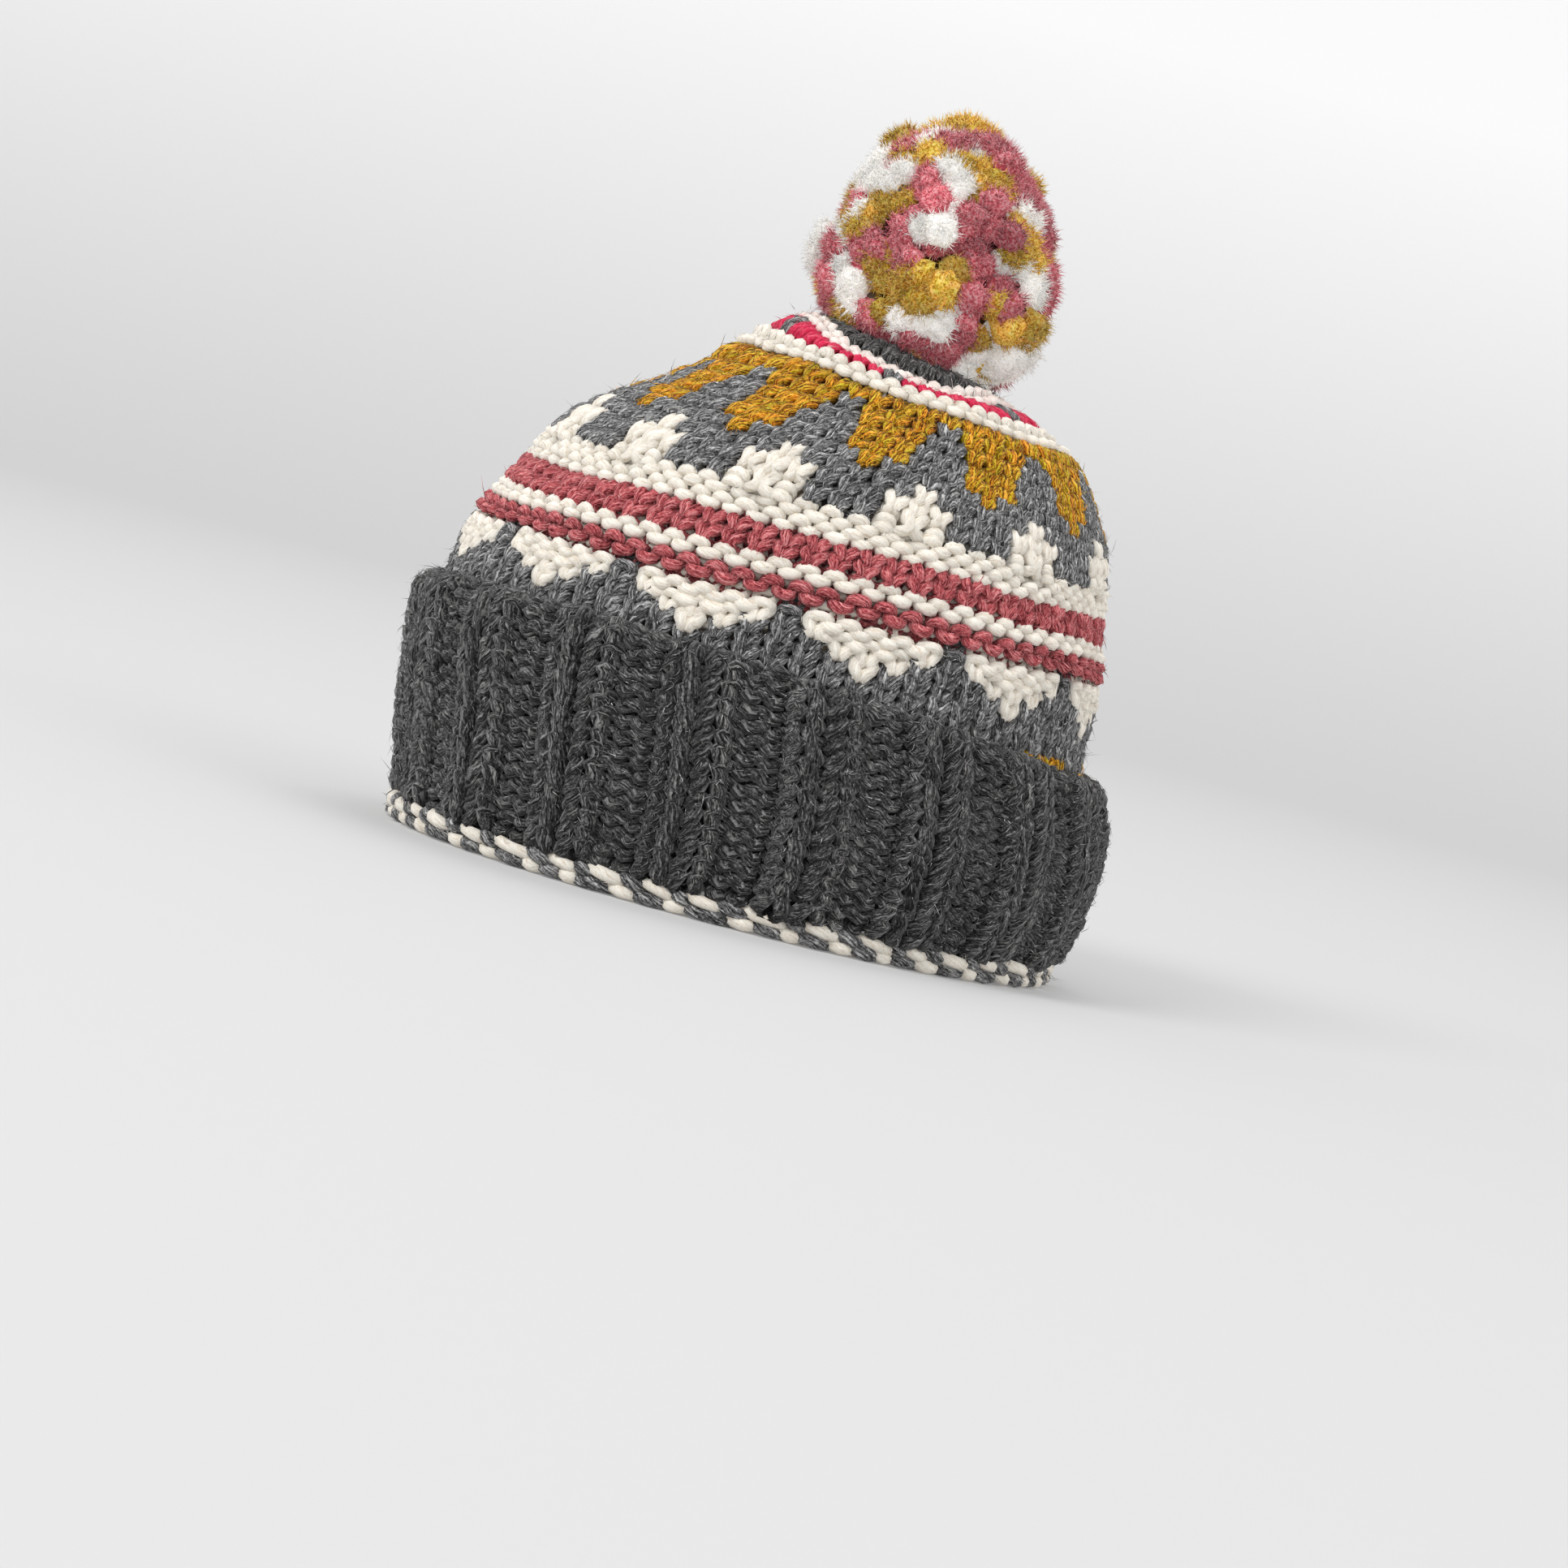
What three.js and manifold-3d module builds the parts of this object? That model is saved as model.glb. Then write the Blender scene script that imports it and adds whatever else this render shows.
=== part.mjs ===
// A thick hand-knit beanie: a striped crown, a turned-up ribbed cuff with a braided edge, and a wool pompom.
// Millimetres, +Z up. The rim rests on Z = 0, +X is along the length of the head and -Y is the side in view.
// Angles run round the hat from +X towards +Y.

import * as THREE from 'three';
import { mergeVertices } from 'three/addons/utils/BufferGeometryUtils.js';
import Module from 'manifold-3d';

const wasm = await Module();
wasm.setup();

// Driving dimensions
const GAP = 0.4; // between touching pieces
const CUFF_GAP = 0.6; // between the crown and the cuff folded against it
const CROWN_WALL = 4.5; // one layer of thick knitting
const CROWN_COLUMNS = 72; // one for each stitch round the crown
const RIBS = 18; // raised ribs round the cuff
const COLUMNS_PER_RIB = 6;
const RIB_ANGLE = -98.5; // degrees, the middle of one raised rib
const RIM_HEIGHT = 7.4; // lower edge of the crown and the cuff, above the braid

// Sections of the crown's outer face, from the rim to the gathered top. Each is an oval through a left and a
// right point of the outline, so the upper ones lean to the right. halfWidth is measured along Y.
const CROWN_SECTIONS = [
  { leftX: -91.4, leftZ: 7.4, rightX: 94.2, rightZ: 7.4, halfWidth: 81.3 },
  { leftX: -92.8, leftZ: 19, rightX: 97.6, rightZ: 17.5, halfWidth: 83.3 },
  { leftX: -95.4, leftZ: 33, rightX: 99.6, rightZ: 30, halfWidth: 85.2 },
  { leftX: -98.2, leftZ: 49, rightX: 98.4, rightZ: 44, halfWidth: 86.3 },
  { leftX: -99.5, leftZ: 62, rightX: 95.4, rightZ: 56, halfWidth: 86.2 },
  { leftX: -98.6, leftZ: 73, rightX: 92.8, rightZ: 67, halfWidth: 85.6 },
  { leftX: -97.2, leftZ: 84, rightX: 93.6, rightZ: 80, halfWidth: 85 },
  { leftX: -93.9, leftZ: 95, rightX: 93.5, rightZ: 92.4, halfWidth: 83.8 },
  { leftX: -89.2, leftZ: 102, rightX: 90.5, rightZ: 99.7, halfWidth: 81.3 },
  { leftX: -85, leftZ: 110, rightX: 89, rightZ: 106.5, halfWidth: 79.3 },
  { leftX: -81.7, leftZ: 119, rightX: 88, rightZ: 113.2, halfWidth: 77.4 },
  { leftX: -73.8, leftZ: 129.2, rightX: 85.6, rightZ: 121.7, halfWidth: 73.8 },
  { leftX: -63.5, leftZ: 137, rightX: 82.4, rightZ: 130.2, halfWidth: 68.4 },
  { leftX: -52.2, leftZ: 143.4, rightX: 77.7, rightZ: 137.9, halfWidth: 61.6 },
  { leftX: -41.5, leftZ: 150.4, rightX: 72.4, rightZ: 145.2, halfWidth: 54.2 },
  { leftX: -32.9, leftZ: 159.8, rightX: 65.5, rightZ: 151.1, halfWidth: 47 },
  { leftX: -20.3, leftZ: 168.7, rightX: 49.7, rightZ: 158.2, halfWidth: 34 },
  { leftX: -10.1, leftZ: 170.6, rightX: 38.7, rightZ: 161.4, halfWidth: 24 },
  { leftX: 0, leftZ: 168.3, rightX: 27.2, rightZ: 162.5, halfWidth: 13.5 },
  { leftX: 7.1, leftZ: 165, rightX: 18.6, rightZ: 162.2, halfWidth: 5.8 },
];

// Shallow hollows pressed into the soft crown: where on its face, how wide and how deep
const DENTS = [
  { angle: -140, section: 10.6, spreadAngle: 26, spreadSections: 1.7, depth: 2.6 },
  { angle: -52, section: 11.8, spreadAngle: 30, spreadSections: 1.6, depth: 1.8 },
  { angle: 75, section: 10.8, spreadAngle: 34, spreadSections: 1.8, depth: 2.4 },
  { angle: 160, section: 12.2, spreadAngle: 28, spreadSections: 1.6, depth: 2 },
];

// Height of the cuff's upper edge round the hat: it is tallest in front and lowest at the right
const CUFF_TOP = { middle: 66.4, lean: 5.6, front: 6.6, back: 2 };

// Rows of the cuff from the rim to its rounded top. up is the share of the cuff's height, out the distance of
// a raised rib from the crown's face, and rib how far the furrows lie behind the ribs.
const CUFF_OUTSIDE = [
  { up: 0, out: 6.2, rib: 1.4 },
  { up: 0.09, out: 6.9, rib: 2.2 },
  { up: 0.3, out: 7.1, rib: 2.6 },
  { up: 0.54, out: 7.2, rib: 2.6 },
  { up: 0.76, out: 7.2, rib: 2.4 },
  { up: 0.9, out: 6.8, rib: 1.9 },
  { up: 0.97, out: 5.4, rib: 1.1 },
  { up: 1, out: 3.2, rib: 0.4 },
];
const CUFF_INSIDE = [0.97, 0.8, 0.6, 0.4, 0.2, 0]; // shares of the height, against the crown

// The braid is a ring round the rim, flattened below where it rests
const BRAID = { middleX: 0.9, halfLength: 96.4, halfWidth: 83.6, columns: 90 };
const BRAID_SECTION = [
  { out: -2.8, height: 0 },
  { out: 2.8, height: 0 },
  { out: 4.5, height: 1.9 },
  { out: 4.5, height: 4.7 },
  { out: 2.6, height: 7 },
  { out: -2.6, height: 7 },
  { out: -4.5, height: 4.7 },
  { out: -4.5, height: 1.9 },
];

// The pompom stands on the gathered top, which slopes down to the right
const TOP_SLOPE = -13.5; // degrees from level, in the XZ plane
const TIE_FOOT = new THREE.Vector3(12.8, 0, 163.2); // the middle of the gathered hole
const POMPOM = { x: 16.4, z: 200, halfLength: 38, halfWidth: 38.5, halfHeight: 40, detail: 7 };
const POMPOM_LUMPS = [
  { x: 5, y: 2, z: 3, phase: 0.4, height: 0.022 },
  { x: -3, y: 6, z: 4, phase: 1.9, height: 0.018 },
  { x: 7, y: -5, z: 6, phase: 3.1, height: 0.014 },
];
const TIE = { shank: 2, knot: 7.5, knotHeight: 5, knotTop: -3.3, reach: 14, sides: 16 };

/** Smooth curve through the values at whole numbers, read at a place between them. */
function smoothed(values, place) {
  const last = values.length - 1;
  const start = Math.min(Math.floor(place), last - 1);
  const at = (i) => values[THREE.MathUtils.clamp(i, 0, last)];
  const [a, b, c, d] = [at(start - 1), at(start), at(start + 1), at(start + 2)];
  const t = place - start;
  const bend = 2 * a - 5 * b + 4 * c - d;
  const turn = 3 * (b - c) + d - a;
  return b + 0.5 * t * (c - a + t * (bend + t * turn));
}

const crownColumns = Object.fromEntries(
  Object.keys(CROWN_SECTIONS[0]).map((name) => [name, CROWN_SECTIONS.map((row) => row[name])]),
);

/** Point on the plain outer form of the crown: section counts from the rim, angle is in radians. */
function crownForm(section, angle) {
  const read = (name) => smoothed(crownColumns[name], section);
  const left = new THREE.Vector3(read('leftX'), 0, read('leftZ'));
  const right = new THREE.Vector3(read('rightX'), 0, read('rightZ'));
  const point = left.clone().add(right).multiplyScalar(0.5);
  point.addScaledVector(right.sub(left), 0.5 * Math.cos(angle));
  point.y = read('halfWidth') * Math.sin(angle);
  return point;
}

/** Direction out of the crown's plain form. */
function crownOutward(section, angle) {
  const step = 0.01;
  const low = Math.max(section - step, 0);
  const high = Math.min(section + step, CROWN_SECTIONS.length - 1);
  const up = crownForm(high, angle).sub(crownForm(low, angle));
  const round = crownForm(section, angle + step).sub(crownForm(section, angle - step));
  return round.cross(up).normalize();
}

/** How deep the dents press the crown in at a place. */
function dentDepth(section, angle) {
  let depth = 0;
  for (const dent of DENTS) {
    const turn = THREE.MathUtils.euclideanModulo(THREE.MathUtils.radToDeg(angle) - dent.angle + 180, 360) - 180;
    const away = (turn / dent.spreadAngle) ** 2 + ((section - dent.section) / dent.spreadSections) ** 2;
    depth += dent.depth * Math.exp(-away);
  }
  return depth;
}

/** Point at a distance outside the crown's outer face. */
function offCrown(section, angle, distance) {
  const out = crownOutward(section, angle);
  return crownForm(section, angle).addScaledVector(out, distance - dentDepth(section, angle));
}

/** The section whose plain form passes a height at an angle, within the part that the cuff covers. */
function sectionAtHeight(height, angle) {
  let low = 0;
  let high = 8;
  for (let i = 0; i < 30; i++) {
    const middle = 0.5 * (low + high);
    if (crownForm(middle, angle).z < height) low = middle;
    else high = middle;
  }
  return 0.5 * (low + high);
}

function cuffTopHeight(angle) {
  const front = Math.max(-Math.sin(angle), 0) ** 1.5;
  const back = Math.max(Math.sin(angle), 0) ** 1.5;
  return CUFF_TOP.middle - CUFF_TOP.lean * Math.cos(angle) + CUFF_TOP.front * front + CUFF_TOP.back * back;
}

/** From 0 on a raised rib to 1 in the furrow beside it. */
function furrow(angle) {
  const wave = Math.cos(RIBS * (angle - THREE.MathUtils.degToRad(RIB_ANGLE)));
  return 0.5 - 0.5 * Math.tanh(2.2 * wave) / Math.tanh(2.2);
}

function anglesRound(count, startDegrees = 0) {
  const start = THREE.MathUtils.degToRad(startDegrees);
  return Array.from({ length: count }, (_, i) => start + (2 * Math.PI * i) / count);
}

/** Joins rings of points into one closed skin. The last ring joins the first, or both ends get a flat cap. */
function skin(rings, capped = false) {
  const count = rings[0].length;
  const points = rings.flat();
  const faces = [];
  const bands = capped ? rings.length - 1 : rings.length;
  for (let band = 0; band < bands; band++) {
    const here = band * count;
    const next = ((band + 1) % rings.length) * count;
    for (let i = 0; i < count; i++) {
      const j = (i + 1) % count;
      faces.push(here + i, here + j, next + j, here + i, next + j, next + i);
    }
  }
  if (capped) {
    for (const [ring, flip] of [[0, true], [rings.length - 1, false]]) {
      const middle = rings[ring].reduce((sum, p) => sum.add(p), new THREE.Vector3()).divideScalar(count);
      points.push(middle);
      for (let i = 0; i < count; i++) {
        const pair = [ring * count + i, ring * count + ((i + 1) % count)];
        faces.push(points.length - 1, ...(flip ? pair.reverse() : pair));
      }
    }
  }
  const geometry = new THREE.BufferGeometry().setFromPoints(points);
  geometry.setIndex(faces);
  return geometry;
}

function toSolid(geometry) {
  const bare = geometry.clone();
  bare.deleteAttribute('normal');
  bare.deleteAttribute('uv');
  const merged = mergeVertices(bare);
  return new wasm.Manifold(new wasm.Mesh({
    numProp: 3,
    vertProperties: new Float32Array(merged.attributes.position.array),
    triVerts: new Uint32Array(merged.index.array),
  }));
}

function fromSolid(solid) {
  const mesh = solid.getMesh();
  const geometry = new THREE.BufferGeometry();
  geometry.setAttribute('position', new THREE.BufferAttribute(mesh.vertProperties, 3));
  geometry.setIndex(new THREE.BufferAttribute(mesh.triVerts, 1));
  return geometry;
}

/** One shell: up the outside, over the edge of the gathered hole and down the inside to the rim. */
function crownGeometry() {
  const angles = anglesRound(CROWN_COLUMNS);
  const sections = CROWN_SECTIONS.map((_, i) => i);
  const outside = sections.map((s) => angles.map((angle) => offCrown(s, angle, 0)));
  const inside = sections.map((s) => angles.map((angle) => offCrown(s, angle, -CROWN_WALL)));
  return skin([...outside, ...inside.reverse()]);
}

function cuffGeometry() {
  const angles = anglesRound(RIBS * COLUMNS_PER_RIB, RIB_ANGLE);
  const ring = (up, distanceAt) => angles.map((angle) => {
    const height = THREE.MathUtils.lerp(RIM_HEIGHT, cuffTopHeight(angle), up);
    const point = offCrown(sectionAtHeight(height, angle), angle, distanceAt(angle));
    point.z = Math.max(point.z, RIM_HEIGHT);
    return point;
  });
  const outside = CUFF_OUTSIDE.map(({ up, out, rib }) => ring(up, (angle) => out - rib * furrow(angle)));
  const inside = CUFF_INSIDE.map((up) => ring(up, () => CUFF_GAP));
  return skin([...outside, ...inside]);
}

function braidGeometry() {
  const angles = anglesRound(BRAID.columns);
  const rings = BRAID_SECTION.map(({ out, height }) => angles.map((angle) => new THREE.Vector3(
    BRAID.middleX + (BRAID.halfLength + out) * Math.cos(angle),
    (BRAID.halfWidth + out) * Math.sin(angle),
    height,
  )));
  return skin(rings);
}

/** Places a piece that is made upright on the gathered top, square to its slope. */
function seatOnTop(object) {
  object.position.copy(TIE_FOOT);
  object.rotation.y = THREE.MathUtils.degToRad(-TOP_SLOPE);
  object.updateMatrix();
}

/** A lumpy ball, pressed flat where it sits on the crown, with a bore for its tie. */
function pompomGeometry() {
  const ball = new THREE.IcosahedronGeometry(1, POMPOM.detail);
  const position = ball.attributes.position;
  const p = new THREE.Vector3();
  for (let i = 0; i < position.count; i++) {
    p.fromBufferAttribute(position, i);
    let size = 1;
    for (const lump of POMPOM_LUMPS) {
      size += lump.height * Math.sin(lump.x * p.x + lump.y * p.y + lump.z * p.z + lump.phase);
    }
    p.multiplyScalar(size).multiply(new THREE.Vector3(POMPOM.halfLength, POMPOM.halfWidth, POMPOM.halfHeight));
    position.setXYZ(i, POMPOM.x + p.x, p.y, POMPOM.z + p.z);
  }
  const angles = anglesRound(CROWN_COLUMNS);
  const seatRows = CROWN_SECTIONS.map((_, i) => i).slice(-6);
  const seat = skin(seatRows.map((s) => angles.map((angle) => offCrown(s, angle, GAP))), true);
  const bore = new THREE.CylinderGeometry(TIE.shank + GAP, TIE.shank + GAP, 2 * (TIE.reach + GAP), TIE.sides);
  bore.rotateX(Math.PI / 2);
  const placed = new THREE.Object3D();
  seatOnTop(placed);
  bore.applyMatrix4(placed.matrix);
  return fromSolid(toSolid(ball).subtract(toSolid(seat)).subtract(toSolid(bore)));
}

/** A knot inside the crown, with a shank through the gathered hole into the pompom. */
function tieGeometry() {
  const foot = TIE.knotTop - TIE.knotHeight;
  const outline = [
    [0, foot],
    [0.6 * TIE.knot, foot],
    [TIE.knot, foot + 0.35 * TIE.knotHeight],
    [0.9 * TIE.knot, foot + 0.75 * TIE.knotHeight],
    [TIE.shank, TIE.knotTop],
    [TIE.shank, TIE.reach],
    [0, TIE.reach],
  ].map(([radius, height]) => new THREE.Vector2(radius, height));
  const lathe = new THREE.LatheGeometry(outline, TIE.sides);
  lathe.rotateX(Math.PI / 2);
  return fromSolid(toSolid(lathe));
}

const yarn = (name, colour) => new THREE.MeshStandardMaterial({ name, color: colour, roughness: 0.95, metalness: 0 });

function piece(name, geometry, material) {
  geometry.computeVertexNormals();
  const mesh = new THREE.Mesh(geometry, material);
  mesh.name = name;
  return mesh;
}

const beanie = new THREE.Group();
beanie.add(piece('crown', crownGeometry(), yarn('grey_yarn', 0x85868a)));
beanie.add(piece('cuff', cuffGeometry(), yarn('charcoal_yarn', 0x4f5156)));
beanie.add(piece('edge_braid', braidGeometry(), yarn('braid_yarn', 0xb9b8b4)));
beanie.add(piece('pompom', pompomGeometry(), yarn('pompom_yarn', 0xc99a90)));
const tie = piece('pompom_tie', tieGeometry(), yarn('tie_yarn', 0x4f5156));
seatOnTop(tie);
beanie.add(tie);

export default beanie;
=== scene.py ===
"""A thick hand-knit pompom beanie. Every stitch is a loop of yarn, laid on the form that the frame's
crown and cuff have.

Lengths are in millimetres until a mesh is made. A place on the knitting is a column, a height and a
depth: the column counts stitches round the hat, and the depth is measured out of the middle of the
fabric.
"""

import math

import bpy
import numpy as np
from mathutils import Matrix, Vector


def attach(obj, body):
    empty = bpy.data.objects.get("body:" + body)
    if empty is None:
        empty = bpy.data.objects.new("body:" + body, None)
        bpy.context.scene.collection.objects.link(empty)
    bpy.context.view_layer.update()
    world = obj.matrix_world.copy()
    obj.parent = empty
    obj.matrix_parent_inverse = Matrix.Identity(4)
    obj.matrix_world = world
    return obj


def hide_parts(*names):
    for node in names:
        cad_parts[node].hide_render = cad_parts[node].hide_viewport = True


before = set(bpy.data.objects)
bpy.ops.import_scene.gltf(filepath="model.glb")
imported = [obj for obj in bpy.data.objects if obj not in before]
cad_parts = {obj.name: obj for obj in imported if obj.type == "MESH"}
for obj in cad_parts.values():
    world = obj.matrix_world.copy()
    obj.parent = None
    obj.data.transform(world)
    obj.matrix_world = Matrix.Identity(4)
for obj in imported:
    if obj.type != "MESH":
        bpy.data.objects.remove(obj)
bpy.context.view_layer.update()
chance = np.random.default_rng(7)

MM = 0.001
BODY = "root"

# The crown's outer form, as in the frame: ovals through a left and a right point of the outline. Each
# line is the x and the height of the left one, those of the right one, and half the width.
CROWN_SECTIONS = np.array([
    (-91.4, 7.4, 94.2, 7.4, 81.3),
    (-92.8, 19, 97.6, 17.5, 83.3),
    (-95.4, 33, 99.6, 30, 85.2),
    (-98.2, 49, 98.4, 44, 86.3),
    (-99.5, 62, 95.4, 56, 86.2),
    (-98.6, 73, 92.8, 67, 85.6),
    (-97.2, 84, 93.6, 80, 85),
    (-93.9, 95, 93.5, 92.4, 83.8),
    (-89.2, 102, 90.5, 99.7, 81.3),
    (-85, 110, 89, 106.5, 79.3),
    (-81.7, 119, 88, 113.2, 77.4),
    (-73.8, 129.2, 85.6, 121.7, 73.8),
    (-63.5, 137, 82.4, 130.2, 68.4),
    (-52.2, 143.4, 77.7, 137.9, 61.6),
    (-41.5, 150.4, 72.4, 145.2, 54.2),
    (-32.9, 159.8, 65.5, 151.1, 47),
    (-20.3, 168.7, 49.7, 158.2, 34),
    (-10.1, 170.6, 38.7, 161.4, 24),
    (0, 168.3, 27.2, 162.5, 13.5),
    (7.1, 165, 18.6, 162.2, 5.8),
])
LAST_SECTION = len(CROWN_SECTIONS) - 1

# Shallow hollows in the soft crown: angle, section, spread of each, depth
DENTS = (
    (-140, 10.6, 26, 1.7, 2.6),
    (-52, 11.8, 30, 1.6, 1.8),
    (75, 10.8, 34, 1.8, 2.4),
    (160, 12.2, 28, 1.6, 2),
    (-90, 15.75, 50, 0.26, 2),
)

# Soft waves in the fabric: height, number round the hat, turn for each unit of height, start
CROWN_WAVES = ((0.5, 3, 0.06, 0), (0.35, 7, -0.11, 1))
CROWN_WAVE_SHARE = 0.6
CUFF_WAVES = ((0.35, 5, 0.5, 0), (0.25, 11, -0.9, 0))

# Yarns: name of the pieces, material slot, radius, steps of the tube for each point of a loop, for
# each centimetre the fibres that lie on the yarn and the long ones that stand off it, and how bright
# those fibres are
YARNS = {
    "g": ("grey", "grey_yarn", 1.85, 2, 5.0, 0.35, 1.9),
    "W": ("cream", "cream_yarn", 1.9, 3, 1.2, 0.12, 0.7),
    "R": ("rose", "rose_yarn", 1.7, 3, 3.5, 0.3, 1.3),
    "M": ("mustard", "mustard_yarn", 1.85, 2, 4.5, 0.3, 1.4),
    "C": ("crimson", "crimson_yarn", 1.45, 2, 4.0, 0.3, 0.8),
    "P": ("pink", "cream_yarn", 1.8, 3, 4.0, 0.5, 0.7),
    "K": ("charcoal", "charcoal_yarn", 1.85, 2, 6.0, 0.5, 1.9),
}
TUBE_SIDES = 5
FABRIC_MIDDLE = -3.1  # depth of the middle of the crown's fabric from its outer face
CROWN_RISE = 0.05  # half the height over which a fabric's slope is read
CUFF_RISE = 0.02

# The crown's rows from the rim up: stitches round, height, section at the lower edge where it is
# fixed, then the yarn and the stitch of each column of a repeat. k is a knit stitch and p a purl one.
HIDDEN_ROWS = tuple((72, 6.9, 0.05 if i == 0 else None, "g", "kkpp") for i in range(6))
CROWN_ROWS = HIDDEN_ROWS + (
    (72, 4.8, 4.25, "MMMgMM", "k"),
    (72, 4.8, None, "MMgggM", "k"),
    (72, 4.8, None, "g", "k"),
    (72, 4.8, None, "g", "k"),
    (72, 4.4, 5.45, "gggWgg", "k"),
    (72, 4.2, None, "ggWWWg", "k"),
    (72, 3.8, None, "gWWWWW", "kkpppk"),
    (72, 3.0, None, "gWWWWW", "p"),
    (72, 2.4, 6.67, "R", "k"),
    (72, 3.2, None, "R", "p"),
    (72, 2.2, 7.41, "W", "k"),
    (72, 2.8, None, "W", "p"),
    (72, 3.8, 8.11, "R", "k"),
    (72, 3.8, None, "R", "k"),
    (72, 2.0, 9.12, "W", "k"),
    (72, 2.7, None, "W", "p"),
    (72, 2.0, None, "W", "k"),
    (72, 2.7, None, "W", "pppkpp"),
    (72, 4.6, 10.25, "ggWWWg", "kkpkpk"),
    (72, 4.8, None, "ggWWWg", "k"),
    (72, 4.8, None, "gggWgg", "k"),
    (72, 4.9, 11.76, "Mggggg", "k"),
    (72, 4.9, None, "MMgggM", "k"),
    (72, 4.9, None, "MMgggM", "k"),
    (60, 4.9, None, "MMggM", "k"),
    (48, 4.9, None, "MMgM", "k"),
    (48, 4.9, None, "M", "k"),
    (54, 2.8, 14.67, "W", "k"),
    (54, 3.4, None, "W", "p"),
    (54, 3.8, 15.6, "CCCCCCCCg", "k"),
    (54, 2.4, 16.05, "P", "k"),
    (54, 3.0, None, "P", "p"),
    # The rows under the pompom are in the darker charcoal yarn, partly as painted shade under the pompom
    (36, 5, 16.65, "K", "k"),
    (36, 5, None, "K", "k"),
    (24, 5, None, "K", "k"),
    (24, 5, None, "K", "k"),
    (12, 5, None, "K", "k"),
)
TOP_SECTION = 18.9
# Heights of the rows' edges, and the section that each fixed height stands for
ROW_EDGES = np.concatenate([[0], np.cumsum([row[1] for row in CROWN_ROWS])])
ROW_SECTIONS = [(edge, row[2]) for edge, row in zip(ROW_EDGES, CROWN_ROWS) if row[2] is not None]
ROW_SECTIONS = np.array(ROW_SECTIONS + [(ROW_EDGES[-1], TOP_SECTION)])
CROWN_PHASE = -88.5  # degrees, where column 0 stands

# In front the top ridge sags over the row below it
SAG = 5.6
SAG_ANGLE = -90  # degrees
SAG_WIDE = 46  # degrees
SAG_FROM = 34  # first row that moves
SAG_ROW = 37  # row of the ridge
SAG_TALL = 12  # how far up the rows above the ridge follow

# Loops
LOOP_REACH = 0.34  # how far a loop reaches into the rows beside it, as a share of its own height
RIDGE_REACH = 1.4  # the same where the bumps of a purl row meet
LOOP_DEPTH = 1.4  # how far a loop swings in front of and behind the middle of the fabric
LEG_TILT = 0.95  # how much further out the foot of a knit stitch's legs is than their middle
RIDGE_DEPTH = 2.0  # how far the bumps of a purl row stand out
SHORT_ROW = 3.5  # rows lower than this pair up as ridges, with their sides hidden
RIDGE_SIDE_DEPTH = 0.1
HIDDEN_SIDE_DEPTH = -1.6
PURL_SIDE_DEPTH = -0.84
TUCK_START = -1.7  # depth of a yarn's first and last point where another yarn takes over
TUCK_DEPTH = 1.1  # how far its end drops behind that
TUCK_LENGTH = 0.45  # of a stitch
SEEN_DEPTH = -0.5  # yarn deeper in the fabric than this carries no loose fibres
PURL_HEIGHT = 0.8  # how tall a purl stitch is beside a knit one
# Painted shade: yarn deeper in the fabric, in the crevices between loops, is darkened
USUAL_DEPTH = 1.1  # yarn deeper in the fabric than this looks darker
SHADED_DEPTHS = (-1.5, 1.8)  # the shade stays the same beyond these
DEPTH_SHADE = 0.52  # for each millimetre
YARN_SHADES = (0.25, 0.75)
YARN_UNEVENNESS = 0.06
PATCH_POINTS = 7  # points of a tube over which its radius and shade change

# Unevenness from stitch to stitch, and from point to point
COLUMN_NOISE = (0.03, 0.014)
HEIGHT_NOISE = (0.05, 0.025)
DEPTH_NOISE = (0.2, 0.12)

# A stitch's six points: across in stitches from its middle and up from -1 at its foot to 1 at its
# head, in a tall row and in a ridge, and how thick the yarn is there in a knit stitch, a purl stitch
# and a ridge
LOOP_ACROSS = np.array([-0.5, -0.01, -0.42, 0, 0.42, 0.01])
LOOP_UP = np.array([-1, -0.62, 0.46, 1, 0.46, -0.62])
RIDGE_ACROSS = np.array([-0.5, -0.1, -0.4, 0, 0.4, 0.1])
RIDGE_UP = np.array([-1, -0.66, 0.66, 1, 0.66, -0.66])
KNIT_THICKNESS = np.array([0.8, 0.92, 1.18, 0.8, 1.18, 0.92])
PURL_THICKNESS = np.array([1.05, 0.8, 0.8, 1.05, 0.8, 0.8])
RIDGE_THICKNESS = np.array([0.98, 0.82, 0.76, 0.98, 0.76, 0.82])

# Loose fibres of a yarn, those that lie on it and those that stand off it: steps of a fibre, how far
# it lifts, its length
SHORT_FIBRES = (1, (0, 0.35), (1.5, 3.4))
LONG_FIBRES = (2, (0.1, 0.6), (3, 8))
FIBRE_SPREAD = 0.8  # radians round the yarn
FIBRE_ROOT = 0.96  # of the yarn's radius
FIBRE_SWERVE = 0.45
FIBRE_CURL = 0.35
FIBRE_DROOP = 0.5
FIBRE_RADII = (0.08, 0.14)
FIBRE_SHADES = (0.3, 1.7)
FIBRE_CLEARANCE = 0.5  # least height over the floor

# The cuff: two-by-two rib, knitted from its upper edge down
CUFF_COLUMNS = 72
CUFF_ROWS = 15
CUFF_TOP_ROWS = 2  # rows that roll over the upper edge
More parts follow.
